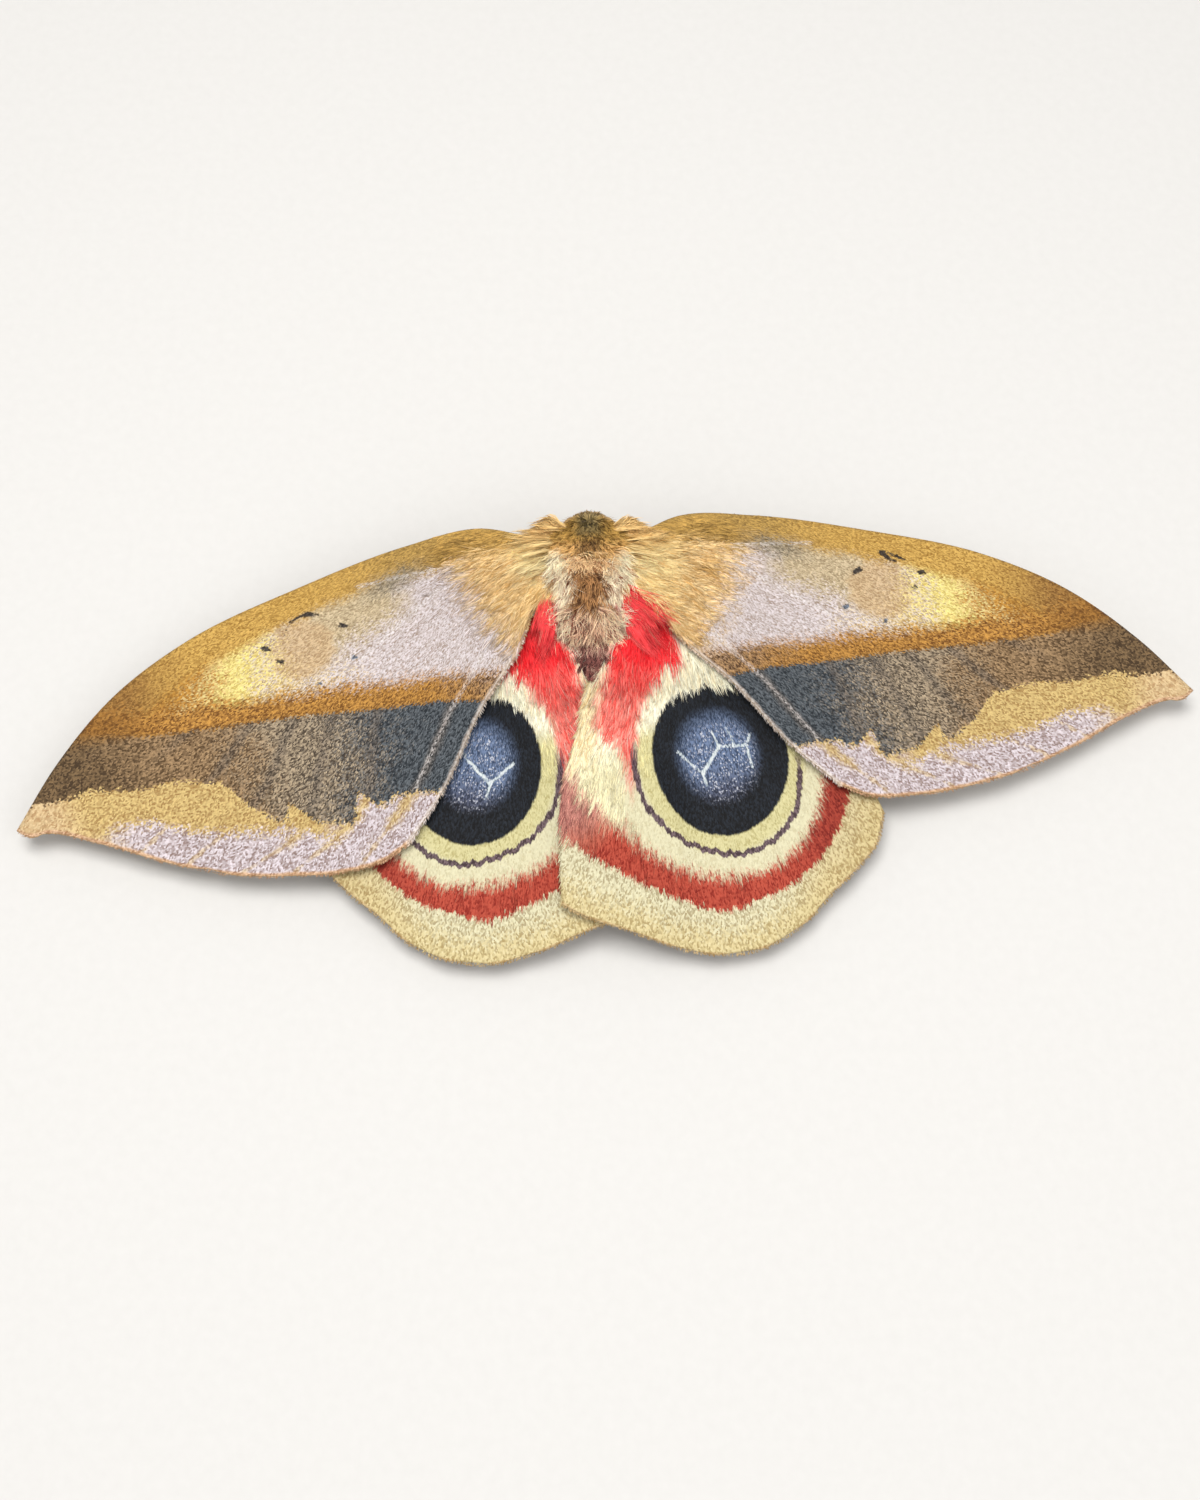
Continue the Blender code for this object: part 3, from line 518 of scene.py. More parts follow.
def hindwing_fields(wing, places, face):
    """Place, lie, and places relative to the eyespot, its rings, the red band and the red hair."""
    s, c = places[:, 0], places[:, 1]

    def outside(centre, radii):
        away = (places - np.array(centre)) / np.array(radii)
        return (np.linalg.norm(away, axis=1) - 1) * (radii[0] + radii[1]) / 2

    away = places - np.array(DISC_CENTRE)
    reach = np.hypot(away[:, 0], away[:, 1])
    angle = np.degrees(np.arctan2(away[:, 1], away[:, 0]))
    angle = np.where(angle < -100, angle + 360, angle)
    inner, outer = curve_value(RED_INNER, angle), curve_value(RED_OUTER, angle)
    edges = np.array(RED_HAIR_EDGES)
    from_edge = s - np.interp(c, edges[:, 0], edges[:, 1])
    to_edge = np.interp(c, edges[:, 0], edges[:, 2]) - s
    return {
        "place": vectors(s, c, face),
        "lie": lie_of(places, HINDWING_COMB_SOURCE, 26.0),
        "spot": vectors(outside(SPOT_CENTRE, SPOT_RADII), outside(DISC_CENTRE, DISC_RADII),
                        segments_distance(places, DISC_LINES[wing.side])),
        "rings": vectors(reach - curve_value(PURPLE_RING, angle), angle, (reach - inner) / (outer - inner)),
        "zones": vectors(np.minimum(from_edge, to_edge), distance_to(places, wing.margin),
                         wing.vein_distance(places)),
    }


def wing_relief(wing, places, u, v):
    """Veins standing up, the membrane slack between them and a faint wave at the margin."""
    vein = wing.vein_distance(places)
    ridge = 0.15 * np.exp(-((vein / 0.26) ** 2)) * (1 - 0.55 * u) * smooth(0.02, 0.10, u)
    slack = -0.10 * (1 - np.exp(-((vein / 1.3) ** 2))) * smooth(0.08, 0.4, u)
    wave = 0.10 * np.sin(v * 31.0 + 1.3 * wing.hand) * smooth(0.72, 1.0, u)
    fold = 0.05 * np.sin(v * 17.0 + u * 5.0) * smooth(0.2, 0.5, u)
    return ridge + slack + wave + fold


def membrane(wing, finish):
    """The wing itself: a thin curved sheet with a closed rim."""
    rows, columns = WING_ROWS, WING_COLUMNS
    u, v = np.meshgrid(np.linspace(0, 1, rows), np.linspace(0, 1, columns), indexing="ij")
    u, v = u.ravel(), v.ravel()
    places = scalloped(wing.plan(u, v), u, v, wing)
    upper = wing.top(places, u, wing_relief(wing, places, u, v))
    depth = EDGE_THICKNESS + (HINGE_THICKNESS - EDGE_THICKNESS) * (1 - smooth(0.0, 0.9, u))
    lower = upper - vectors(0.0, 0.0, depth)
    grid = np.arange(rows * columns).reshape(rows, columns)
    quads = np.stack([grid[:-1, :-1], grid[:-1, 1:], grid[1:, 1:], grid[1:, :-1]], -1).reshape(-1, 4)
    rim = np.concatenate([grid[0, :], grid[1:, -1], grid[-1, -2::-1], grid[-2:0:-1, 0]])
    after = np.roll(rim, -1)
    count = rows * columns
    walls = np.stack([after, rim, rim + count, after + count], -1)
    faces = np.concatenate([quads[:, ::-1], quads + count, walls[:, ::-1]])
    if wing.hand > 0:
        faces = faces[:, ::-1]
    fields = wing.fields(places, np.ones(count))
    below = wing.fields(places, -np.ones(count))
    fields = {key: np.concatenate([fields[key], below[key]]) for key in fields}
    made = mesh_object(f"{wing.pair}_{wing.side}_scales", np.concatenate([upper, lower]), faces, finish,
                       fields)
    write_membrane_map(made.data, wing, places)
    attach(made, "root")
    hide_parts(f"{wing.pair}_{wing.side}")
    "fore_wing" if wing.pair == "forewing" else "hind_wing"
    return made


def write_membrane_map(mesh, wing, places):
    """The upper face in one half of the map, the underside in the other, the rim round the first."""
    flat = 0.03 + 0.94 * wing.flat_share(places)
    outward = unit(flat - flat.mean(axis=0)) * 0.006
    corners = np.empty(len(mesh.loops), np.int32)
    mesh.loops.foreach_get("vertex_index", corners)
    corners = corners.reshape(-1, 4)
    below = corners >= len(places)
    at = flat[corners % len(places)]
    under = below.all(axis=1)
    rim = below & ~under[:, None]
    at = at + outward[corners % len(places)] * rim[..., None]
    at = np.where(under[:, None, None], at * (-1, 1) + (1, 0), at)
    at = at * (1.0, 0.5) + np.where(under, 0.5, 0.0)[:, None, None] * (0.0, 1.0)
    write_bake_map(mesh, at)


def scalloped(places, u, v, wing):
    """The outer edge drawn in a little between its veins."""
    ends = np.array([0.0, *wing.shape["vein_ends"], 1.0])
    i = np.clip(np.searchsorted(ends, v, side="right") - 1, 0, len(ends) - 2)
    phase = (v - ends[i]) / (ends[i + 1] - ends[i])
    drawn = SCALLOP * np.sin(math.pi * phase) * smooth(0.9, 1.0, u)
    outward = unit(places - places[u == 1.0].mean(axis=0))
    return places - outward * drawn[:, None]


# Finishes

class Flow:
    """A number, vector or colour on its way through a finish, with ordinary arithmetic."""

    def __init__(self, finish, socket):
        self.finish, self.socket = finish, socket

    def __add__(self, other):
        return self.finish.maths("ADD", self, other)

    def __sub__(self, other):
        return self.finish.maths("SUBTRACT", self, other)

    def __rsub__(self, other):
        return self.finish.maths("SUBTRACT", other, self)

    def __mul__(self, other):
        return self.finish.maths("MULTIPLY", self, other)

    def __truediv__(self, other):
        return self.finish.maths("DIVIDE", self, other)

    __radd__ = __add__
    __rmul__ = __mul__


class Finish:
    """A material, whose shader is fed by expressions."""

    def __init__(self, name, **constants):
        self.material = bpy.data.materials.new(name)
        self.material.use_nodes = True
        self.tree = self.material.node_tree
        self.shader = self.tree.nodes["Principled BSDF"]
        for socket, value in constants.items():
            self.shader.inputs[socket.replace("_", " ")].default_value = value

    def feed(self, socket, value):
        if isinstance(value, Flow):
            self.tree.links.new(value.socket, socket)
        elif isinstance(value, (tuple, list)):
            size = len(socket.default_value)
            socket.default_value = (tuple(value) + (1.0,))[:size]
        elif hasattr(socket.default_value, "__len__"):
            socket.default_value = (value,) * len(socket.default_value)
        else:
            socket.default_value = value

    def node(self, kind, settings, inputs, output=0):
        """Any node: its settings first, then its sockets by name or number."""
        made = self.tree.nodes.new(kind)
        for key, value in settings.items():
            setattr(made, key, value)
        for key, value in inputs.items():
            self.feed(made.inputs[key], value)
        return Flow(self, made.outputs[output])

    def maths(self, operation, *values, clamp=False):
        wide = ("VECTOR", "RGBA")
        vectors = any(isinstance(v, tuple) or isinstance(v, Flow) and v.socket.type in wide for v in values)
        inputs = dict(enumerate(values))
        if vectors:
            output = 1 if operation in ("DISTANCE", "LENGTH", "DOT_PRODUCT") else 0
            return self.node("ShaderNodeVectorMath", {"operation": operation}, inputs, output)
        return self.node("ShaderNodeMath", {"operation": operation, "use_clamp": clamp}, inputs)

    def reads(self, field):
        return self.node("ShaderNodeAttribute", {"attribute_name": field}, {}, "Vector")

    def parts(self, vector):
        split = self.tree.nodes.new("ShaderNodeSeparateXYZ")
        self.feed(split.inputs[0], vector)
        return [Flow(self, output) for output in split.outputs]

    def vector(self, x, y):
        return self.node("ShaderNodeCombineXYZ", {}, {0: x, 1: y, 2: 0.0})

    def step(self, low, high, value):
        """0 below low, 1 above high, smooth between."""
        settings = {"interpolation_type": "SMOOTHSTEP", "clamp": True}
        return self.node("ShaderNodeMapRange", settings, {0: value, 1: low, 2: high, 3: 0.0, 4: 1.0})

    def bell(self, value, middle, width):
        """1 at the middle and 0 at width from it."""
        away = self.maths("ABSOLUTE", value - middle)
        return self.step(width, 0.0, away)

    def blend(self, share, a, b):
        return self.node("ShaderNodeMix", {"data_type": "RGBA"}, {0: share, 6: a, 7: b}, 2)

    def between(self, share, a, b):
        return self.node("ShaderNodeMix", {"data_type": "FLOAT"}, {0: share, 2: a, 3: b})

    def clouds(self, vector, scale, detail=3.0, roughness=0.55, flat=True):
        """Soft noise from 0 to 1 about a half."""
        settings = {"noise_dimensions": "2D" if flat else "3D"}
        inputs = {"Vector": vector, "Scale": scale, "Detail": detail, "Roughness": roughness}
        return self.node("ShaderNodeTexNoise", settings, inputs)

    def cells(self, vector, output, flat=True):
        """Small cells of size 1: their Distance, or the Color that each has at random."""
        settings = {"voronoi_dimensions": "2D" if flat else "3D"}
        return self.node("ShaderNodeTexVoronoi", settings, {"Vector": vector, "Scale": 1.0}, output)

    def bump(self, height, distance):
        inputs = {"Height": height, "Distance": distance, "Strength": 1.0}
        return self.node("ShaderNodeBump", {}, inputs)

    def shows(self, **values):
        for socket, value in values.items():
            self.feed(self.shader.inputs[socket.replace("_", " ")], value)
        return self.material


class Coat:
    """Colours of a scaled or haired surface, as layers of dark and light scales in some share."""

    def __init__(self, finish, dark, light, share):
        self.finish, self.dark, self.light, self.share = finish, dark, light, share

    def over(self, mask, dark, light, share):
        """A patch laid over what is there, where the mask is 1."""
        f = self.finish
        self.dark = f.blend(mask, self.dark, dark)
        self.light = f.blend(mask, self.light, light)
        self.share = f.between(mask, self.share, share)
        return self

    def covered(self, mask, other):
        """Another coat laid over this one, where the mask is 1."""
        return self.over(mask, other.dark, other.light, other.share)

    def colour(self, grain, softness=0.26):
        """Each scale is dark or light as its grain, from 0 to 1, falls below or above the share."""
        f = self.finish
        chosen = f.maths("MULTIPLY_ADD", grain - self.share, 0.5 / softness, 0.5, clamp=True)
        return f.blend(chosen, self.dark, self.light)


def scale_grain(f, lie, long, wide):
    """Random value and height of each scale, as they lie in rows of cells of that length and width."""
    spot = lie * (1 / long, 1 / wide, 0.0)
    tint = f.cells(spot, "Color")
    values = f.parts(tint)
    return values[0], values[1], f.cells(spot, "Distance")


def hair_shade(f, colour, depth, spread, flat):
    """Hairs are darker at their roots, a painted shade where the coat shades itself, and vary from tuft to
    tuft, and flat scales are duller.
    """
    random, share, hair = f.parts(f.reads("strand"))
    # Painted shade: each hair gets darker towards its root, where its neighbours would shade it.
    along_hair = 1.0 - depth + 1.4 * depth * share
    shade = f.between(hair, flat, along_hair * (1.0 - spread + 2.0 * spread * random))
    return colour * shade


def turn_under(f, coat, below, face, rim_dark, rim_light):
    """The underside's coat on the lower face, and plain colours on the rim between both faces."""
    coat.covered(f.step(0.0, -0.5, face), below)
    rim = f.step(0.98, 0.70, f.maths("ABSOLUTE", face))
    coat.over(rim * 0.85, rim_dark, rim_light, 0.5)


def forewing_finish(side, tan_reach):
    """Scales of one fore wing, whose tan root ends that many mm from the hinge."""
    f = Finish(f"fore_wing_scales_{side}", Roughness=0.62, Sheen_Weight=0.04, Specular_IOR_Level=0.18)
    place, lie = f.reads("place"), f.reads("lie")
    s, c, face = f.parts(place)
    costa, margin, inner = f.parts(f.reads("edges"))
    line, zigzag, vein = f.parts(f.reads("bands"))
    lilac, spots, vein_highlight = f.parts(f.reads("patches"))
    plan = place * (1.0, 1.0, 0.0)
    grain, second, height = scale_grain(f, lie, long=0.20, wide=0.085)
    streak = f.clouds(lie * (0.9, 3.4, 0.0), 1.0, 4.0, 0.65) - 0.5
    cloud = f.clouds(place, 0.16, 3.0) - 0.5
    patch = f.clouds(plan, 0.9, 4.0, 0.6) - 0.5
    hair = f.parts(f.reads("strand"))[2]
    dust = second - 0.5
    ragged = streak * 0.9 + patch * 0.5

    # Lilac middle, tan base, gold then rust brown towards the tip
    coat = Coat(f, (0.36, 0.26, 0.20), (0.86, 0.78, 0.81), 0.36)
    warm = f.step(20.0, 29.0, s + 0.35 * c + cloud * 8.0 + patch * 4.0 + dust * 7.0)
    coat.over(warm, (0.46, 0.30, 0.12), (0.92, 0.74, 0.38), 0.32)
    bronze = f.step(11.0, 15.0, s + patch * 4.0) * f.step(27.0, 22.0, s + patch * 4.0)
    bronze = bronze * f.step(-2.6, -5.6, c - 0.06 * s + patch * 3.0 + dust * 2.4)
    coat.over(bronze, (0.33, 0.24, 0.13), (0.78, 0.63, 0.41), 0.40)
    cell = f.step(3.9, 2.7, f.maths("DISTANCE", plan, (24.4, -4.9, 0.0)) + patch * 2.0)
    coat.over(cell * 0.85, (0.40, 0.24, 0.11), (0.76, 0.55, 0.32), 0.38)
    tan = f.step(tan_reach, tan_reach - 5.0, s + 0.2 * c + patch * 5.0 + cloud * 3.0 + dust * 3.0)
    tan_dark = f.blend(hair, (0.48, 0.28, 0.10), (0.66, 0.37, 0.10))
    coat.over(tan, tan_dark, f.blend(hair, (0.88, 0.64, 0.35), (1.0, 0.77, 0.42)), 0.36)
    ochre = tan * hair * f.step(0.02, 0.22, cloud + patch * 0.3)
    coat.over(ochre * 0.7, (0.52, 0.26, 0.05), (0.90, 0.60, 0.22), 0.40)
    paler = hair * f.step(4.6, 0.6, s + patch * 3.0) * (0.20 * (tan_reach - 8.0))
    coat.over(paler, (0.84, 0.50, 0.16), (1.0, 0.85, 0.44), 0.30)
    sunny = f.bell(s - 0.3 * c + cloud * 4.0 + dust * 4.0, 33.0, 5.0)
    sunny = sunny * f.step(0.5, -2.0, c + 0.10 * s - 3.0)
    coat.over(sunny, (0.60, 0.43, 0.09), (1.0, 0.87, 0.32), 0.30)
    deep = f.step(33.0, 38.5, s - 0.12 * c + cloud * 8.0 + patch * 3.0 + dust * 5.0)
    coat.over(deep, (0.26, 0.11, 0.014), (0.60, 0.30, 0.05), 0.38)
    tip = f.step(38.5, 45.0, s + cloud * 5.0 + dust * 4.0)
    coat.over(tip, (0.18, 0.08, 0.016), (0.42, 0.215, 0.05), 0.46)

    # Golden strip along the front edge, olive near the root
    wide = 1.2 + 2.5 * f.step(-1.0, 9.0, s) + 0.5 * f.step(24.0, 32.0, s)
    strip = f.step(0.8, -0.8, costa - wide + 0.010 * s + cloud * 1.2 + patch * 1.0 + dust * 0.9)
    coat.over(strip, (0.36, 0.19, 0.035), (0.76, 0.47, 0.12), 0.42)
    olive = strip * f.step(19.0, 11.0, s + cloud * 8.0 + dust * 4.0)
    coat.over(olive * 0.85, (0.25, 0.15, 0.04), (0.66, 0.41, 0.11), 0.42)
    brown = strip * f.step(35.0, 43.0, s + cloud * 6.0)
    coat.over(brown, (0.20, 0.09, 0.02), (0.42, 0.22, 0.055), 0.44)
    smudge = f.bell(c + 0.05 * s + 6.6 + patch * 1.4 + dust * 1.2, 0.0, 1.9)
    smudge = smudge * f.bell(s + patch * 3.0, 13.0, 5.4)
    coat.over(smudge * 0.9, (0.13, 0.115, 0.085), (0.44, 0.38, 0.29), 0.58)

    # Rust band inside the postmedian line
    rust = f.step(-3.7, -1.9, line + ragged * 1.6 + cloud * 2.0 + dust * 1.3)
    coat.over(rust, (0.17, 0.065, 0.012), (0.66, 0.33, 0.07), 0.48)
    near_root = rust * f.step(tan_reach + 7.5, tan_reach - 1.0, s + cloud * 6.0 + dust * 3.0)
    coat.over(near_root, (0.06, 0.026, 0.014), (0.60, 0.36, 0.17), 0.57)
    coat.over(rust * tip, (0.16, 0.065, 0.012), (0.40, 0.185, 0.035), 0.46)
    coat.over(f.step(-0.55, -0.05, line + ragged * 0.7) * 0.5, (0.16, 0.075, 0.02), (0.46, 0.25, 0.07), 0.5)

    # Dark band outside the line, slate towards the rear edge and black brown at the tip
    band = Coat(f, (0.085, 0.062, 0.042), (0.56, 0.44, 0.30), 0.57)
    reddish = f.step(30.0, 37.0, s + cloud * 6.0 + dust * 3.0)
    band.over(reddish, (0.105, 0.06, 0.026), (0.45, 0.29, 0.15), 0.55)
    slate = f.step(25.0, 14.5, s - 0.55 * c + cloud * 7.0 + patch * 3.0 + dust * 6.0)
    band.over(slate, (0.022, 0.028, 0.036), (0.15, 0.172, 0.195), 0.58)
    peak = f.step(41.0, 49.0, s + cloud * 4.0 + dust * 3.0)
    band.over(peak, (0.065, 0.038, 0.018), (0.24, 0.15, 0.07), 0.52)
    shadow = f.step(0.85, 0.10, vein + patch * 0.6) * f.step(44.0, 36.0, s)
    band.over(shadow * 0.5, (0.05, 0.042, 0.035), (0.25, 0.20, 0.16), 0.6)

    # Gold teeth along the veins and lilac patches between them, out to a pink edge
    beyond = f.step(-0.10, 0.12, zigzag + ragged * 1.1 + dust * 0.7)
    edging = Coat(f, (0.34, 0.19, 0.06), (0.76, 0.56, 0.23), 0.38)
    frost = f.step(-0.4, 0.7, lilac + ragged * 1.8 + dust * 1.2) * f.step(52.0, 46.5, s + dust * 2.0)
    near = f.step(30.5, 27.5, s + patch * 1.5) * f.step(0.0, 0.5, zigzag + dust * 0.6)
    frost = f.maths("MAXIMUM", frost, near)
    teeth = f.step(0.95, 0.15, vein + patch * 1.2 + dust * 0.5) * f.step(4.0, 0.8, zigzag + dust)
    on_vein = f.step(0.30, 0.10, vein + patch * 0.8)
    frost = frost * f.between(teeth, 1.0, 0.2) * f.between(on_vein, 1.0, 0.45)
    edging.over(frost, (0.30, 0.21, 0.19), (0.82, 0.74, 0.80), 0.46)
    edging.over(f.step(49.5, 54.0, s), (0.46, 0.27, 0.12), (0.80, 0.60, 0.34), 0.34)

    band.covered(beyond, edging)
    faded = f.step(41.0, 50.0, s)
    outer = f.step(-0.06 - 1.2 * faded, 0.08 + 1.8 * faded, line + ragged * 0.55 + dust * 0.5)
    coat.covered(outer, band)
    coat.over(f.step(0.50, 0.18, margin + patch * 0.3), (0.46, 0.24, 0.12), (0.82, 0.54, 0.34), 0.42)
    fringe = f.step(0.45, 0.1, inner + patch * 0.4) * f.step(8.0, 16.0, s + c)
    coat.over(fringe * 0.7, (0.60, 0.48, 0.40), (0.92, 0.83, 0.76), 0.4)
    # Pale streaks along the veins: a painted highlight of the vein ridges.
    chalk = f.step(0.22, -0.06, vein_highlight + patch * 0.35) * f.step(-0.25, 0.1, dust + streak)
    coat.over(chalk * 0.5, (0.62, 0.54, 0.50), (0.94, 0.90, 0.90), 0.4)
    dots = f.step(0.10, -0.06, spots + patch * 0.5 + dust * 0.12)
    dots_light = f.blend(f.step(-4.0, -2.4, c), (0.05, 0.042, 0.042), (0.20, 0.26, 0.36))
    coat.over(dots * 0.95, (0.010, 0.009, 0.012), dots_light, 0.55)

    # Underside: plain tan with one dark line and a dark cell spot
    below = Coat(f, (0.40, 0.27, 0.16), (0.76, 0.62, 0.42), 0.36)
    below.over(f.bell(line + streak * 0.5, 0.0, 0.9), (0.20, 0.11, 0.06), (0.42, 0.27, 0.17), 0.5)
    away = f.maths("DISTANCE", plan, (24.0, -5.0, 0.0))
    below.over(f.step(2.2, 1.8, away), (0.02, 0.02, 0.02), (0.10, 0.09, 0.10), 0.5)
    below.over(f.step(0.6, 0.4, away), (0.8, 0.8, 0.82), (0.95, 0.95, 0.97), 0.5)
    turn_under(f, coat, below, face, (0.50, 0.34, 0.15), (0.60, 0.42, 0.20))

    colour = coat.colour(grain + cloud * 0.10, 0.42)
    colour = colour * (0.92 + 0.16 * second)
    relief = f.step(0.0, 1.0, height) * -1.0 + grain * 0.7
    return f.shows(
        Base_Color=hair_shade(f, colour, 0.12, 0.14, 0.80),
        Roughness=f.between(grain, 0.72, 0.50),
        Normal=f.bump(relief, 0.00005),
    )


def hindwing_finish():
    """Scales of both hind wings."""
    f = Finish("hind_wing_scales", Roughness=0.66, Sheen_Weight=0.03, Specular_IOR_Level=0.16)
    place, lie = f.reads("place"), f.reads("lie")
    s, c, face = f.parts(place)
    spot, disc, lines = f.parts(f.reads("spot"))
    ring, angle, band = f.parts(f.reads("rings"))
    red, margin = f.parts(f.reads("zones"))[:2]
    plan = place * (1.0, 1.0, 0.0)
    grain, second, height = scale_grain(f, lie, long=0.22, wide=0.09)
    streak = f.clouds(lie * (0.55, 4.6, 0.0), 1.0, 4.0, 0.7) - 0.5
    cloud = f.clouds(place, 0.22, 3.0) - 0.5
    patch = f.clouds(plan, 1.3, 4.0, 0.6) - 0.5
    dust = second - 0.5

    # Sandy margin, more ochre at its very edge
    coat = Coat(f, (0.53, 0.45, 0.27), (0.92, 0.87, 0.60), 0.36)
    ochre = f.step(4.2, 0.4, margin + patch * 2.4 + dust * 2.0)
    coat.over(ochre, (0.54, 0.41, 0.18), (0.90, 0.76, 0.41), 0.38)
    far = f.step(17.0, 22.0, s + patch * 5.0 + dust * 3.0)
    coat.over(far * 0.6, (0.46, 0.31, 0.12), (0.82, 0.66, 0.33), 0.42)
    coat.over(f.step(0.32, 0.12, margin), (0.52, 0.33, 0.13), (0.80, 0.60, 0.32), 0.42)

    # Cream within the red band, and the red band itself
    coat.over(f.step(0.55, 0.35, band + streak * 0.3), (0.76, 0.69, 0.44), (0.92, 0.87, 0.60), 0.26)
    fuzz = streak * 0.75 + patch * 0.25
    inside = f.step(-0.16, 0.30, band + fuzz * 1.1 + dust * 0.25)
    inside = inside * f.step(1.08, 0.99, band + fuzz * 0.75 + dust * 0.06)
    inside = inside * f.step(-16.0, 6.0, angle)
    faint = f.step(158.0, 140.0, angle + cloud * 14.0)
    coat.over(inside * f.between(faint, 0.80, 1.0), (0.32, 0.026, 0.016), (0.62, 0.10, 0.06), 0.40)
    worn = inside * f.step(62.0, 30.0, angle + patch * 30.0)
    coat.over(worn * 0.7, (0.20, 0.016, 0.012), (0.42, 0.055, 0.035), 0.46)
    dusk = inside * f.step(144.0, 160.0, angle + patch * 10.0)
    coat.over(dusk * 0.75, (0.36, 0.13, 0.12), (0.72, 0.36, 0.31), 0.46)

    # Pale hair round the spot's inner side, golden along the inner edge, red from the hinge
    hairy = f.step(16.5, 12.5, c + 0.25 * s + streak * 1.6)
    coat.over(hairy, (0.94, 0.80, 0.52), (1.0, 0.98, 0.80), 0.20)
    golden = hairy * f.step(0.6, -1.2, s + 0.10 * c + streak * 1.8) * f.step(3.5, 6.5, c)
    coat.over(golden, (0.84, 0.62, 0.30), (1.0, 0.90, 0.62), 0.30)
    flame = f.step(-0.35, 0.75, red + streak * 2.2 + patch * 0.5) * f.step(21.5, 16.5, c + streak * 4.0)
    soft = f.step(2.5, 9.0, c + streak * 4.0)
    flame_dark = f.blend(soft, (0.80, 0.004, 0.014), (0.88, 0.10, 0.08))
    flame_light = f.blend(soft, (1.0, 0.05, 0.06), (1.0, 0.34, 0.28))
    coat.over(flame, flame_dark, flame_light, 0.42)
    streaks = flame * soft * f.step(0.06, 0.24, streak)
    coat.over(streaks * 0.7, (0.86, 0.60, 0.50), (0.97, 0.88, 0.78), 0.4)

    # Yellow ring round the spot, then the thin purple ring, open towards the hinge
    near = f.step(2.1, 1.3, spot + streak * 0.4) * f.step(10.5, 13.5, c + streak)
    coat.over(near, (0.60, 0.53, 0.24), (0.84, 0.78, 0.42), 0.30)
    wobble = f.clouds(lie * (0.0, 1.5, 0.0), 1.0, 2.0, 0.6) - 0.5
    ring_line = f.step(0.36, 0.20, f.maths("ABSOLUTE", ring + streak * 0.5 + wobble * 1.0 + patch * 0.3))
    open_end = f.step(12.6, 15.2, c + patch * 1.2)
    coat.over(ring_line * open_end * 0.95, (0.045, 0.018, 0.04), (0.19, 0.12, 0.155), 0.52)

    # Black spot with a slate disc, speckled white, and thin white lines
    black = f.step(0.14, -0.12, spot + streak * f.between(f.step(14.0, 8.0, c), 0.4, 1.5) + patch * 0.2)
    coat.over(black, (0.003, 0.0035, 0.0055), (0.018, 0.024, 0.036), 0.62)
    glow = f.step(0.2, -2.0, disc + 0.07 * (s - 10.5) + 0.09 * (c - 14.5) + patch * 0.4)
    low = f.step(14.0, 19.5, c + 0.3 * s - 3.0 + cloud * 2.0)
    slate_dark = f.blend(low, (0.05, 0.078, 0.15), (0.025, 0.028, 0.048))
    slate_light = f.blend(low, (0.21, 0.29, 0.48), (0.11, 0.12, 0.19))
    coat.over(glow, slate_dark, slate_light, 0.46)
    fine = f.cells(lie * (1 / 0.15, 1 / 0.12, 0.0), "Color")
    flecks = f.step(0.80, 0.93, f.parts(fine)[0]) * f.step(-0.3, -2.2, disc + patch)
    coat.over(flecks * 0.85, (0.36, 0.38, 0.50), (0.84, 0.86, 0.95), 0.4)
    chalk = f.step(0.15, 0.02, lines + patch * 0.10 + dust * 0.10) * black
    coat.over(chalk, (0.62, 0.74, 0.80), (0.92, 0.98, 1.0), 0.3)

    # Underside: plain pinkish tan, with a dark line and a small white spot
    below = Coat(f, (0.44, 0.31, 0.20), (0.80, 0.66, 0.48), 0.34)
    below.over(f.bell(band + streak * 0.2, 0.0, 0.22), (0.26, 0.15, 0.09), (0.46, 0.30, 0.20), 0.5)
    away = f.maths("DISTANCE", plan, (*DISC_CENTRE, 0.0))
    below.over(f.step(0.55, 0.35, away), (0.8, 0.8, 0.8), (0.95, 0.95, 0.95), 0.5)
    turn_under(f, coat, below, face, (0.62, 0.50, 0.30), (0.72, 0.60, 0.38))

    colour = coat.colour(grain + cloud * 0.08)
    colour = colour * (0.95 + 0.10 * second)
    relief = f.step(0.0, 1.0, height) * -0.8 + grain * 0.6 + streak * 0.8
    return f.shows(
        Base_Color=hair_shade(f, colour, 0.10, 0.12, 0.68),
        Roughness=f.between(black, 0.68, 0.50),
        Normal=f.bump(relief, 0.00004),
    )


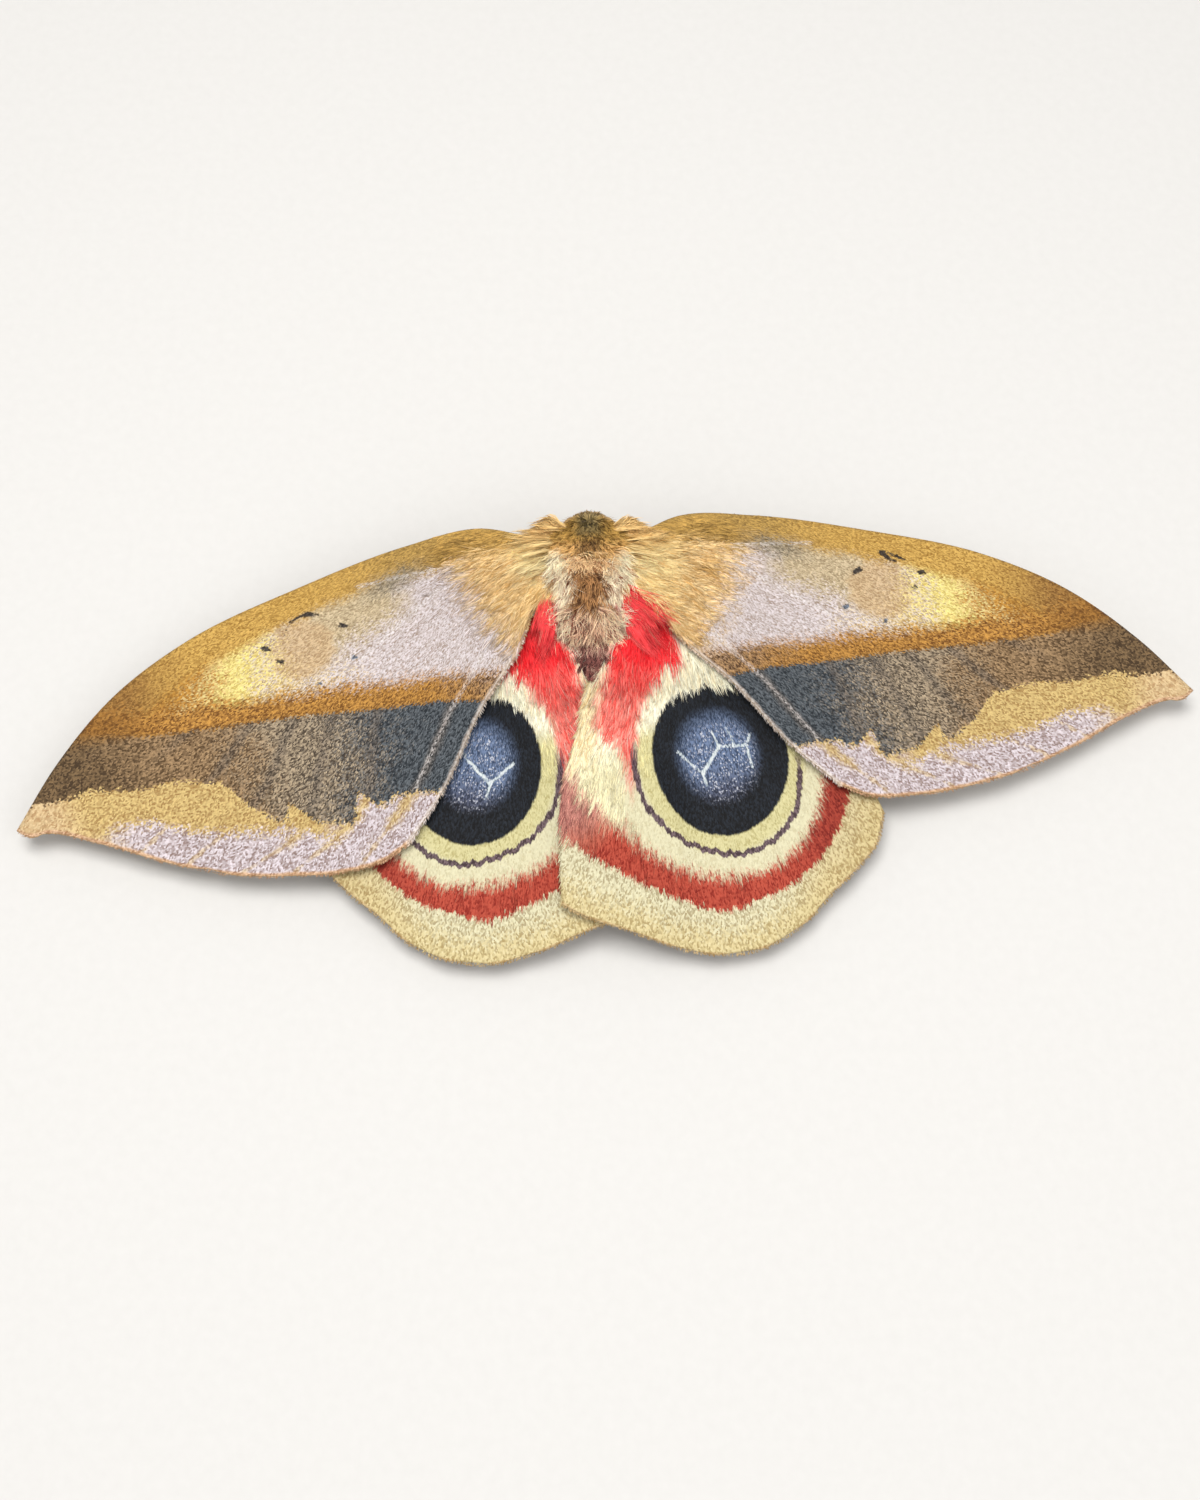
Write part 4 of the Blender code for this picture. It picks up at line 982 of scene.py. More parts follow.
def body_finish():
    """Zones of the body's coat by the root's place, the same for skin and hair."""
    f = Finish("body_fur", Roughness=0.70, Sheen_Weight=0.05, Specular_IOR_Level=0.16)
    root = f.reads("root")
    x, y, z = f.parts(root)
    out = f.maths("ABSOLUTE", x)
    grain = f.parts(f.cells(root * 7.0, "Color", flat=False))[0]
    tangle = f.clouds(root, 0.9, 4.0, 0.65, flat=False) - 0.5
    cloud = f.clouds(root, 0.35, 2.0, flat=False) - 0.5
    top = f.step(5.6, 7.2, z + tangle)

    # Thorax: ochre all over, then its patches from head to waist
    coat = Coat(f, (0.70, 0.36, 0.08), (1.0, 0.78, 0.36), 0.30)
    flank = f.step(7.0, 5.0, z + tangle * 2.0)
    coat.over(flank, (0.44, 0.25, 0.12), (0.82, 0.60, 0.34), 0.42)
    cream = f.step(3.6, 4.6, out) * f.bell(y + tangle * 2.0, 2.6, 3.2)
    coat.over(cream * 0.9, (0.84, 0.50, 0.18), (1.0, 0.86, 0.50), 0.24)
    brow = f.step(3.6, 6.2, y + tangle * 2.0) * f.step(2.6, 3.4, out) * f.step(7.0, 4.6, out + tangle * 2.0)
    coat.over(brow * 0.8, (0.42, 0.22, 0.06), (0.92, 0.62, 0.26), 0.44)
    mound = f.step(3.7, 3.1, out + tangle * 0.8) * f.step(2.2, 3.0, y + tangle * 1.2)
    coat.over(mound, (0.46, 0.22, 0.05), (0.92, 0.58, 0.22), 0.42)
    olive = mound * f.step(3.0, 5.0, y - 0.25 * out + tangle * 2.0)
    coat.over(olive * top, (0.22, 0.12, 0.025), (0.60, 0.36, 0.09), 0.46)
    grey = f.step(1.5, 0.4, out + tangle * 0.7) * f.step(4.6, 5.8, y + tangle) * mound
    coat.over(grey * 0.75 * top, (0.10, 0.08, 0.03), (0.38, 0.30, 0.14), 0.48)
    dark = f.step(1.5, 0.5, f.maths("DISTANCE", root * (1.0, 0.8, 0.0), (0.0, 2.7, 0.0)) + tangle)
    coat.over(dark * 0.9 * top, (0.10, 0.045, 0.014), (0.42, 0.23, 0.08), 0.55)

    pink = f.step(3.3, 2.6, out + tangle) * f.step(2.8, 2.2, y + tangle * 1.4)
    coat.over(pink, (0.46, 0.16, 0.05), (1.0, 0.72, 0.40), 0.40)
    white = f.step(2.0, 1.1, f.maths("DISTANCE", f.vector(out, y), (3.4, 2.0, 0.0)) + tangle * 1.5)
    coat.over(white * top, (0.76, 0.36, 0.13), (1.0, 0.92, 0.68), 0.24)
    sides = f.step(1.0, 1.7, out + tangle * 0.8) * f.step(3.4, 2.8, out) * f.step(1.4, 0.8, y + tangle)
    coat.over(sides * 0.9 * top, (0.50, 0.18, 0.08), (1.0, 0.91, 0.70), 0.32)
    rusty = f.step(1.7, 1.0, out + tangle * 0.8) * f.step(1.3, 0.5, y + tangle)
    rusty = rusty * f.step(-3.4, -2.2, y + tangle)
    coat.over(rusty * top, (0.12, 0.045, 0.014), (0.54, 0.28, 0.11), 0.50)
    blush = f.step(0.9, 0.3, f.maths("DISTANCE", f.vector(out, y), (2.5, -2.1, 0.0)) + tangle * 1.2)
    coat.over(blush * 0.6, (0.74, 0.10, 0.15), (0.96, 0.50, 0.52), 0.45)
    fan = f.step(-2.0, -2.8, y + tangle * 1.2) * top
    coat.over(fan, (0.30, 0.035, 0.02), (1.0, 0.85, 0.60), 0.40)
    pale_tips = fan * f.step(1.4, 2.4, out + tangle)
    coat.over(pale_tips * 0.7, (0.50, 0.16, 0.09), (1.0, 0.92, 0.70), 0.28)
    core = fan * f.step(1.3, 0.3, out + tangle * 0.8)
    coat.over(core * 0.6, (0.14, 0.035, 0.02), (0.82, 0.46, 0.30), 0.54)
    crimson = f.step(2.9, 3.4, out + tangle * 0.5) * f.step(-0.1, -0.8, y + tangle - 0.12 * x) * top
    coat.over(crimson, (0.84, 0.006, 0.016), (1.0, 0.09, 0.10), 0.32)

    # Head: olive brown crown, paler face
    head = f.step(7.6, 8.4, y) * f.step(7.6, 6.6, z)
    coat.over(head, (0.34, 0.20, 0.08), (0.74, 0.52, 0.26), 0.42)
    face = head * f.step(5.6, 4.6, z + tangle)
    coat.over(face * 0.8, (0.46, 0.27, 0.15), (0.86, 0.66, 0.46), 0.38)

    # Abdomen: purple brown above, paler and redder at the sides, with a pale fringe on each ring
    rear = f.step(-4.4, -5.4, y + tangle * 0.8) * f.step(8.4, 7.4, z)
    coat.over(rear, (0.05, 0.014, 0.014), (0.32, 0.12, 0.10), 0.60)
    ring = f.maths("FRACT", (y + ABDOMEN_FRONT) * (-ABDOMEN_RINGS / ABDOMEN_LENGTH) + 40.0)
    ring_fringe = rear * f.step(0.72, 0.92, ring + tangle * 0.3)
    coat.over(ring_fringe * 0.5, (0.48, 0.25, 0.17), (0.86, 0.60, 0.46), 0.4)
    belly = rear * f.step(2.6, 1.4, z + tangle)
    coat.over(belly * 0.8, (0.46, 0.30, 0.18), (0.86, 0.68, 0.46), 0.36)

    # Legs: rusty purple thighs and shins, darker feet
    leg, foot, joint = f.parts(f.reads("limb"))
    coat.over(leg, (0.28, 0.12, 0.08), (0.66, 0.38, 0.24), 0.42)
    coat.over(leg * foot, (0.16, 0.075, 0.05), (0.48, 0.29, 0.18), 0.46)
    coat.over(leg * joint * 0.7, (0.42, 0.27, 0.17), (0.76, 0.56, 0.36), 0.4)

    random, along_hair, hair = f.parts(f.reads("strand"))
    # Roots darker and tips paler: partly the hair's own colour and partly painted shade deep in the coat.
    coat.share = coat.share + hair * (0.20 - 0.46 * along_hair)
    own = f.between(hair, grain, grain * 0.45 + (random - 0.5) * 1.0 + 0.28)
    colour = coat.colour(own + cloud * 0.2 + tangle * 0.2, 0.20)
    furrows = f.clouds(root * (6.0, 1.6, 6.0), 1.0, 3.0, 0.6, flat=False)
    return f.shows(
        Base_Color=hair_shade(f, colour, 0.26, 0.30, 0.80),
        Roughness=f.between(grain, 0.78, 0.62),
        Normal=f.bump(furrows, 0.00012),
    )


def eye_finish():
    f = Finish("eye_facets", Roughness=0.16, Coat_Weight=0.4, Coat_Roughness=0.08)
    place = f.node("ShaderNodeTexCoord", {}, {}, "Object")
    facets = f.cells(place * 22000.0, "Distance", flat=False)
    mottle = f.clouds(place, 1800.0, 3.0, flat=False)
    colour = f.blend(f.step(0.35, 0.7, mottle), (0.012, 0.007, 0.006), (0.060, 0.030, 0.020))
    colour = f.blend(f.step(0.35, 0.75, facets), colour, (0.004, 0.003, 0.003))
    return f.shows(
        Base_Color=colour,
        Roughness=f.between(f.step(0.3, 0.7, facets), 0.12, 0.34),
        Normal=f.bump(facets * -1.0, 0.00002),
    )


def antenna_finish():
    f = Finish("antenna_horn", Roughness=0.55, Specular_IOR_Level=0.4)
    place = f.node("ShaderNodeTexCoord", {}, {}, "Object")
    mottle = f.clouds(place, 2600.0, 3.0, flat=False)
    fine = f.clouds(place, 15000.0, 2.0, flat=False)
    colour = f.blend(mottle, (0.20, 0.11, 0.04), (0.54, 0.36, 0.15))
    return f.shows(
        Base_Color=colour,
        Roughness=f.between(fine, 0.45, 0.7),
        Normal=f.bump(fine, 0.00003),
    )


# Body skin

def leg_route(place, side, count=40):
    """Centre line and radius of a leg from hip to toe, its foot in five short segments, and for each
    place 1 on the foot and 1 at a joint."""
    places = [np.array(p) * (SIDES[side], 1, 1) for p in LEG_JOINTS[place]]
    t = np.linspace(0, 1, count)
    femur, tibia, tarsus = [a + (b - a) * t[:, None] for a, b in zip(places, places[1:])]
    ankle, toe = places[2:]
    tarsus[:, 2] = ankle[2] + (toe[2] - ankle[2]) * smooth(0.0, 0.22, t)
    beads = np.abs(np.sin(t * math.pi * 5)) ** 0.5
    girths = [
        0.66 + 0.16 * np.sin(math.pi * t) - 0.12 * t,
        0.50 + 0.08 * np.sin(math.pi * t) - 0.08 * t,
        (0.24 + 0.10 * beads) * (1 - 0.22 * t),
    ]
    joints = [smooth(0.94, 1.0, t), 1 - smooth(0.0, 0.08, t), 1 - beads]

    def chained(parts):
        return np.concatenate([parts[0], parts[1][1:], parts[2][1:]])

    feet = [0 * t, 0 * t, 0 * t + 1]
    return [chained(parts) for parts in ([femur, tibia, tarsus], girths, feet, joints)]


def palp_route(side, shares):
    return along(np.array(PALP_ROUTE) * (SIDES[side], 1, 1), shares)


def abdomen_at(y):
    """Height of the middle and half width of the abdomen at that place along it."""
    stations = ABDOMEN_STATIONS[::-1]
    return np.interp(y, stations[:, 0], stations[:, 1]), np.interp(y, stations[:, 0], stations[:, 2])


def tail_end(y, least):
    """The share of its width that the abdomen has left where it closes at the tail."""
    return np.sqrt(np.clip(1 - smooth(-25.0, -26.2, y) ** 2, least, 1))


def abdomen_rings():
    """Centre line and radius of the abdomen, swelling on each ring, from the waist to the tail."""
    y = np.linspace(ABDOMEN_STATIONS[0, 0] + 1.0, ABDOMEN_STATIONS[-1, 0] - 0.6, 150)
    middle, half = abdomen_at(y)
    phase = np.mod(-(y + ABDOMEN_FRONT) * ABDOMEN_RINGS / ABDOMEN_LENGTH, 1.0)
    swell = 0.93 + 0.10 * smooth(0.0, 0.3, phase) - 0.05 * smooth(0.86, 1.0, phase)
    return vectors(0.0, y, middle), (half * swell - ABDOMEN_SKIN_DEPTH) * tail_end(y, 0.02)


def body_skin(finish):
    """One closed skin over thorax, head, abdomen, palps and legs."""
    shapes = [
        ellipsoid(THORAX_CENTRE, THORAX_SKIN),
        ellipsoid(HOOD_CENTRE, HOOD_SKIN),
        ellipsoid(HEAD_CENTRE, HEAD_SKIN),
        tube(*abdomen_rings(), columns=40),
    ]
    for side in SIDES:
        for place in LEG_JOINTS:
            shapes.append(tube(*leg_route(place, side)[:2], columns=12, floor=0.0))
        share = np.linspace(0, 1, 20)
        girth = (0.34 - 0.12 * share) * np.sqrt(1.02 - share ** 6)
        shapes.append(tube(palp_route(side, share), girth, columns=12))
    rough = mesh_object("body_skin", *joined(shapes), finish)
    remesh = rough.modifiers.new("one skin", "REMESH")
    remesh.mode = "VOXEL"
    remesh.voxel_size = SKIN_VOXEL * MM
    remesh.use_smooth_shade = True
    soften = rough.modifiers.new("soften", "SMOOTH")
    soften.factor = 0.5
    soften.iterations = 3
    made = baked_object(rough)
    places = np.empty(len(made.data.vertices) * 3, np.float32)
    made.data.vertices.foreach_get("co", places)
    places = (places.reshape(-1, 3) - ORIGIN) / MM
    write_field(made.data, "root", places)
    write_field(made.data, "limb", limb_field(places))
    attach(made, "root")
    legs = [f"{place}_leg_{side}" for place in LEG_JOINTS for side in SIDES]
    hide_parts("thorax", "head", "abdomen", "palp_left", "palp_right", *legs)
    return made


def baked_object(made):
    """The same object with what its modifiers make as its own mesh."""
    bpy.context.view_layer.update()
    graph = bpy.context.evaluated_depsgraph_get()
    mesh = bpy.data.meshes.new_from_object(made.evaluated_get(graph))
    made.modifiers.clear()
    made.data = mesh
    return made


def limb_field(places):
    """1 on a leg, 1 on its foot and 1 at its joints, for each place."""
    leg, foot, joint = np.zeros((3, len(places)))
    low = places[:, 2] < 5.2
    for side in SIDES:
        for place in LEG_JOINTS:
            route, girth, on_foot, at_joint = leg_route(place, side, 14)
            index = np.flatnonzero(low & (places[:, 0] * SIDES[side] > 1.5))
            gaps = np.linalg.norm(places[index, None] - route[None], axis=2)
            closest = gaps.argmin(axis=1)
            on = smooth(0.5, 0.25, gaps.min(axis=1) - girth[closest])
            on = on * smooth(1.6, 3.0, np.abs(places[index, 0]))
            leg[index] = np.maximum(leg[index], on)
            foot[index] = np.where(on > 0.3, on_foot[closest], foot[index])
            joint[index] = np.where(on > 0.3, at_joint[closest], joint[index])
    return np.stack([leg, foot, joint], -1)


# Coats of hair

# Where a hair's rings stand along it, before its tip: plain, short and curly hairs.
PLAIN = (-0.06, 0.40, 0.74)
SHORT = (-0.06, 0.55)
CURLY = (-0.06, 0.28, 0.54, 0.78)
FLOOR_CLEARANCE = 0.06
# The patch of the bake map that one hair takes up, across and along.
HAIR_PATCH = (0.0015, 0.003)


def strand_faces(rings):
    """Corner numbers of one hair: a closed three sided spike of some rings and a tip."""
    faces = [(2, 1, 0)]
    for ring in range(0, 3 * (rings - 1), 3):
        for k in range(3):
            a, b = ring + k, ring + (k + 1) % 3
            faces += [(a, b, b + 3), (a, b + 3, a + 3)]
    last = 3 * (rings - 1)
    faces += [(last + k, last + (k + 1) % 3, 3 * rings) for k in range(3)]
    return np.array(faces)


def tufts_of(draw, roots, size):
    """For each root, the number of the tuft it belongs to and the way to that tuft's middle."""
    count = max(1, int(len(roots) / size))
    middles = roots[draw.choice(len(roots), count, replace=False)]
    tree = kdtree.KDTree(count)
    for k, middle in enumerate(middles):
        tree.insert(middle, k)
    tree.balance()
    owner = np.array([tree.find(root)[1] for root in roots])
    return owner, middles[owner] - roots


def hair_piece(name, finish, slot, draw, roots, normals, headings, length, width, lift, fields,
               bake_places, sag=0.7, sway=0.12, tuft=9, gather=0.55, rest=None, ceiling=None,
               drawn=None, bends=PLAIN, curl=0.0, gloss=1.0):
    """Hairs as closed spikes that lean by lift from the surface, sag back and gather in tufts."""
    count = len(roots)
    length = np.broadcast_to(length, count) * draw.uniform(0.72, 1.18, count)
    width = np.broadcast_to(width, count) * draw.uniform(0.8, 1.25, count)
    lift = np.radians(np.broadcast_to(lift, count) * draw.uniform(0.6, 1.4, count))
    sag, sway, curl = (np.broadcast_to(value, count) for value in (sag, sway, curl))
    gather = np.broadcast_to(gather, count)[:, None]
    owner, towards = tufts_of(draw, roots, tuft)
    shared = draw.normal(0, 1, (owner.max() + 1, 5))[owner]
    headings = unit(headings)
    side = unit(np.cross(headings, normals))
    turn = (shared[:, 0] * sway + draw.normal(0, 0.35, count) * sway)[:, None]
    headings = unit(headings + side * turn)
    side = unit(np.cross(headings, normals))
    bend = (shared[:, 1] * sway * 0.8 + draw.normal(0, 0.5, count) * sway)[:, None]
    length = length * (1 + 0.14 * shared[:, 2])
    start = shared[:, 3] * 2.0 + draw.normal(0, 0.5, count)
    loft = 0.16 * np.abs(draw.normal(0, 1, count)) + 0.05 * np.abs(shared[:, 3])
    towards = towards - normals * np.sum(towards * normals, axis=1, keepdims=True)
    rings, tips = [], None
    for t in (*bends, 1.0):
        wave = curl * (np.sin(start + 4.4 * t) - np.sin(start))
        here = roots + length[:, None] * (
            headings * (t * np.cos(lift))[:, None]
            + normals * (np.sin(lift) * (t - sag * t * abs(t)) + 0.5 * np.abs(wave))[:, None]
            + side * (bend * t * abs(t) + wave[:, None])
        )
        here = here + towards * (gather * max(t, 0.0) ** 1.3)
        if drawn is not None and t > 0:
            here = drawn(here)
        if rest is not None and t > 0:
            here[:, 2] = np.maximum(here[:, 2], rest(here) + 0.03 + loft * t)
        if ceiling is not None and t > 0:
            here[:, 2] = np.minimum(here[:, 2], ceiling(here))
        here[:, 2] = np.maximum(here[:, 2], FLOOR_CLEARANCE)
        if t == 1.0:
            tips = here
            break
        girth = (1.0 - 0.62 * max(t, 0.0) ** 1.6) * width[:, None] / 2
        ring = [here - side * girth, here + side * girth, here + normals * girth * 0.9]
        rings.append(np.stack(ring, 1))
    points = np.concatenate([*rings, tips[:, None]], 1)
    size = 3 * len(bends) + 1
    faces = strand_faces(len(bends))
    faces = (faces[None] + size * np.arange(count)[:, None, None]).reshape(-1, 3)
    share = np.append(np.repeat(np.maximum(bends, 0.0), 3), 1.0)
    random = np.clip(0.5 + 0.20 * shared[:, 4] + draw.normal(0, 0.16, count), 0, 1)
    strand = vectors(random[:, None], share[None], gloss)
    spread = {key: np.repeat(values, size, axis=0) for key, values in fields.items()}
    spread["strand"] = strand.reshape(-1, 3)
    across = np.append(np.tile((-1, 1, 0), len(bends)), 0) * HAIR_PATCH[0]
    patch = vectors(across, (share - 0.5) * HAIR_PATCH[1])
    bake_map = np.clip(bake_places[:, None] + patch[None], 0, 1).reshape(-1, 2)
    made = mesh_object(name, points.reshape(-1, 3), faces, finish, spread, bake_map)
    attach(made, "root")
    return made


def random_ball(draw, count):
    return unit(draw.normal(0, 1, (count, 3)))


def rooted(ways, centre, radii):
    """Places and normals on an ellipsoid in those directions from its middle."""
    return centre + ways * radii, unit(ways / radii)


def along_skin(heading, normals):
    """The headings without their part across the skin."""
    return heading - normals * np.sum(heading * normals, axis=1, keepdims=True)


def body_hair(name, finish, slot, draw, roots, normals, heading, length, width, lift, seen=None, **habit):
    """Hairs of the trunk, whose colours are those of their roots' places or of others given as seen."""
    fields = {"root": roots if seen is None else seen, "limb": np.zeros_like(roots)}
    return hair_piece(name, finish, slot, draw, roots, normals, heading, length, width, lift, fields,
                      body_bake_places(roots), **habit)


def body_bake_places(roots):
    """Places on an unwrap of the body: the turn about its length, and the length itself."""
    axis_height, rear_end, body_length = 4.5, -27.0, 39.0
    turn = np.arctan2(roots[:, 0], roots[:, 2] - axis_height) / (2 * math.pi) + 0.5
    return vectors(0.02 + 0.96 * turn, 0.02 + 0.96 * (roots[:, 1] - rear_end) / body_length)


def inside_of(points, centre, radii):
    return (((points - centre) / radii) ** 2).sum(axis=1) < 1


def buried(roots):
    """Whether a root of the thorax lies inside the hood, or the other way round."""
    in_hood = inside_of(roots, HOOD_CENTRE, HOOD_SKIN * BURIED_SHARE)
    return in_hood | inside_of(roots, THORAX_CENTRE, THORAX_SKIN * BURIED_SHARE)


WINGS = {}


def rest_height(points):
    """The highest wing or abdomen under each point, which hair above it lies on."""
    x, y = points[:, 0], points[:, 1]
    height = np.zeros(len(points))
    fore = dome(x, y) + FOREWING_RISE + HAIR_CLEARANCE
    height = np.where((np.abs(x) > 3.3) & (y > -4.6) & (y < 7.2), np.maximum(height, fore), height)
    right, left = WINGS["hindwing", "right"].level(x, y), WINGS["hindwing", "left"].level(x, y)
    hind = np.where(x > -0.2, right, left) + HAIR_CLEARANCE
    height = np.where(y < -3.6, np.maximum(height, hind), height)
    middle, half = abdomen_at(y)
    side = np.clip(1 - (x / half) ** 2, 0, 1)
    height = np.where((y < -3.0) & (side > 0), np.maximum(height, middle + half * np.sqrt(side)), height)
    return height


def drawn_back(points):
    """No hair stands out past the line that runs from the hood to the fore wings' front edges."""
    out = np.abs(points[:, 0])
    line = np.interp(out, (0.0, 2.4, 3.6, 5.0, 7.3, 20.0), (9.3, 9.0, 8.4, 7.5, 6.4, 5.0))
    points = points.copy()
    points[:, 1] = np.where(points[:, 1] > line, line + 0.25 * (points[:, 1] - line), points[:, 1])
    return points


HAIRS_PER_PIECE = 4600


def thorax_coat(finish):
    """Hair of the thorax and hood, combed by zone: short on the mound, long at shoulders and waist."""
    draw = np.random.default_rng(21)
    thorax = rooted(random_ball(draw, 60000), THORAX_CENTRE, THORAX_SKIN)
    hood = rooted(random_ball(draw, 15000), HOOD_CENTRE, HOOD_SKIN)
    roots, normals = [np.concatenate(both) for both in zip(thorax, hood)]
    keep = ~buried(roots) & ~inside_of(roots, HEAD_CENTRE, HEAD_RADII)
    keep &= ~((roots[:, 1] < -4.2) & (roots[:, 2] < 6.2) & (np.abs(roots[:, 0]) < 2.0))
    keep &= ~((np.abs(roots[:, 0]) > 3.9) & (roots[:, 2] > 5.6) & (roots[:, 2] < 7.6) & (roots[:, 1] < 5.4))
    keep &= draw.uniform(0, 1, len(roots)) < 0.30 + 0.70 * smooth(5.6, 7.8, roots[:, 2])
    roots, normals = roots[keep], normals[keep]
    x, y, z = roots.T
    out, hand = np.abs(x), np.sign(x)
    upper = smooth(6.2, 8.2, z)
    mound = smooth(3.7, 2.9, out) * smooth(2.4, 3.6, y) * upper
    shoulder = smooth(2.7, 3.6, out) * smooth(-0.6, 1.4, y) * smooth(4.4, 5.6, z)
    flank = smooth(2.7, 3.3, out) * smooth(0.6, -0.8, y) * smooth(5.6, 7.0, z)
    fan = smooth(-1.2, -2.8, y) * upper
    front = smooth(6.6, 8.0, y)
    curl = smooth(3.2, 2.4, out) * smooth(3.2, 2.4, y) * smooth(-0.6, 0.6, y) * upper
    heading = vectors(0.16 * x, -1.0, -0.25 * (1 - upper))
    heading += shoulder[:, None] * vectors(hand * 3.2, 1.10 - 0.14 * y, 0.1)
    heading += (fan * (1 - flank))[:, None] * vectors(0.36 * x, 0.0, 0.0)
    heading += flank[:, None] * vectors(0.25 * hand, 0.0, 0.0)
    heading += (front * (1 - shoulder))[:, None] * vectors(0.25 * x, 1.9, -0.8)
    heading += (mound * smooth(1.2, 2.4, out))[:, None] * vectors(1.1 * hand, 0.5, -0.2)
    heading = along_skin(heading, normals)
    length = 1.7 - 0.85 * mound + 1.9 * shoulder + 0.9 * fan * (1 - flank) - 0.35 * curl - 0.3 * flank
    temple = mound * smooth(1.4, 2.4, out)
    length += 0.20 * mound + 0.60 * temple - 0.3 * front * (1 - shoulder)
    lift = 15 + 20 * mound + 16 * temple + 12 * curl
    sway = 0.16 + 0.36 * curl + 0.20 * fan + 0.14 * shoulder - 0.04 * mound
    curve = 0.06 + 0.12 * curl + 0.07 * fan
    gather = 0.60 - 0.44 * smooth(2.6, 3.6, y)
    seen = roots + shoulder[:, None] * vectors(1.6 * hand, 0.0, 0.0)
    order = draw.permutation(len(roots))
    ends = {"front": (4.4, 99.0), "collar": (1.2, 4.4), "middle": (-1.6, 1.2), "rear": (-99.0, -1.6)}
    for zone, (low, high) in ends.items():
        chosen = order[(y[order] >= low) & (y[order] < high)][:HAIRS_PER_PIECE]
        body_hair(
            f"thorax_hair_{zone}", finish, "thorax_fur", draw, roots[chosen], normals[chosen],
            heading[chosen], length[chosen], 0.095, lift[chosen], seen[chosen], sag=0.45,
            sway=sway[chosen], tuft=10, gather=gather[chosen], rest=rest_height, drawn=drawn_back,
            bends=CURLY, curl=curve[chosen],
        )


def shoulder_tufts(side, finish):
    """Long ochre tufts from the hood's side out over the root of the fore wing."""
    draw = np.random.default_rng(27 + SIDES[side])
    ways = random_ball(draw, 60000)
    both_shapes = rooted(ways, THORAX_CENTRE, THORAX_SKIN), rooted(ways, HOOD_CENTRE, HOOD_SKIN)
    roots, normals = [np.concatenate(both) for both in zip(*both_shapes)]
    x, y, z = roots.T * np.array((SIDES[side], 1, 1))[:, None]
    keep = ((x > 2.75) & (y > 1.8) & (y < 6.4) & (z > 6.7)) | ((x > 2.05) & (y >= 6.4) & (y < 8.5))
    keep &= (z > 4.8) & (z < 8.7) & ~buried(roots)
    order = draw.permutation(np.flatnonzero(keep))[:3800]
    roots, normals = roots[order], normals[order]
    y = roots[:, 1]
    heading = vectors(SIDES[side], -0.12 + 0.40 * smooth(4.2, 6.4, y), -0.10 * smooth(5.5, 7.5, y))
    length = 2.7 + 1.0 * smooth(2.5, 5.0, y) - 1.2 * smooth(5.4, 7.6, y)
    outward = (1.7 * SIDES[side], 0.0, 0.0)

    def rest(points):
        on_wing = smooth(7.4, 6.6, points[:, 1]) * smooth(2.8, 3.6, np.abs(points[:, 0]))
        return (dome(points[:, 0], points[:, 1]) + FOREWING_RISE + SHOULDER_CLEARANCE) * on_wing

    return body_hair(
        f"shoulder_hair_{side}", finish, "thorax_fur", draw, roots, normals, heading, length, 0.10, 8,
        roots + outward, sag=0.5, sway=0.30 - 0.14 * smooth(5.0, 7.0, y), tuft=9, gather=0.5, rest=rest,
        drawn=drawn_back, bends=CURLY, curl=0.10,
    )


def head_coat(finish):
    """Short hair of the head, combed down over the face and clear of the eyes."""
    draw = np.random.default_rng(22)
    ways = random_ball(draw, 5600)
    roots, normals = rooted(ways, HEAD_CENTRE, HEAD_SKIN)
    keep = (ways[:, 1] > -0.35) & ~inside_of(roots, HOOD_CENTRE, HOOD_SKIN)
    for hand in (-1, 1):
        keep &= ~inside_of(roots, EYE_CENTRE * (hand, 1, 1), EYE_RADII * 1.06)
    roots, normals = roots[keep], normals[keep]
    face = smooth(7.8, 9.4, roots[:, 1])
    heading = along_skin(vectors(0.35 * roots[:, 0], 1.2 * (1 - face), -1.2 * face - 0.3), normals)
    return body_hair(
        "head_hair", finish, "head_fur", draw, roots, normals, heading, 0.95 - 0.25 * face, 0.10,
        30 + 8 * face, sag=0.5, sway=0.16, tuft=8, bends=SHORT,
    )


def abdomen_coat(finish):
    """Hair of the abdomen, combed back, and flat under the wings."""
    draw = np.random.default_rng(23)
    count = 4300
    y = -3.8 - 22.2 * draw.uniform(0, 1, count) ** 1.35
    turn = draw.uniform(-math.pi, math.pi, count)
    middle, half = abdomen_at(y)
    half = (half - ABDOMEN_SKIN_DEPTH) * tail_end(y, 0.1)
    way = vectors(np.sin(turn), 0.0, np.cos(turn))
    roots = vectors(0.0, y, middle) + way * half[:, None]
    clear = roots[:, 2] > 0.25
    roots, way, y = roots[clear], way[clear], y[clear]
    normals = unit(way + np.array((0, -0.05, 0)))
    heading = np.tile((0.0, -1.0, 0.0), (len(y), 1)) + way * 0.04
    free = smooth(-12.0, -8.5, y) + smooth(-24.5, -25.6, y)
    hind = WINGS["hindwing", "left"]

    def ceiling(points):
        roof = hind.level(points[:, 0], points[:, 1]) - MEMBRANE / 2 - 0.06
        return np.where(points[:, 1] < -9.5, roof, 99.0)

    return body_hair(
        "abdomen_hair", finish, "abdomen_fur", draw, roots, normals, heading, 1.0 + 1.2 * free, 0.095,
        7 + 18 * free, sag=0.6, sway=0.12, tuft=9, ceiling=ceiling,
    )


def waist_width(y):
    """Half the width of the dark hair seen between the hind wings, which narrows to a point."""
    return np.interp(y, (-11.4, -9.2, -5.6, -4.0), (0.0, 1.0, 1.7, 1.9))


WAIST_MIDDLE = 0.3


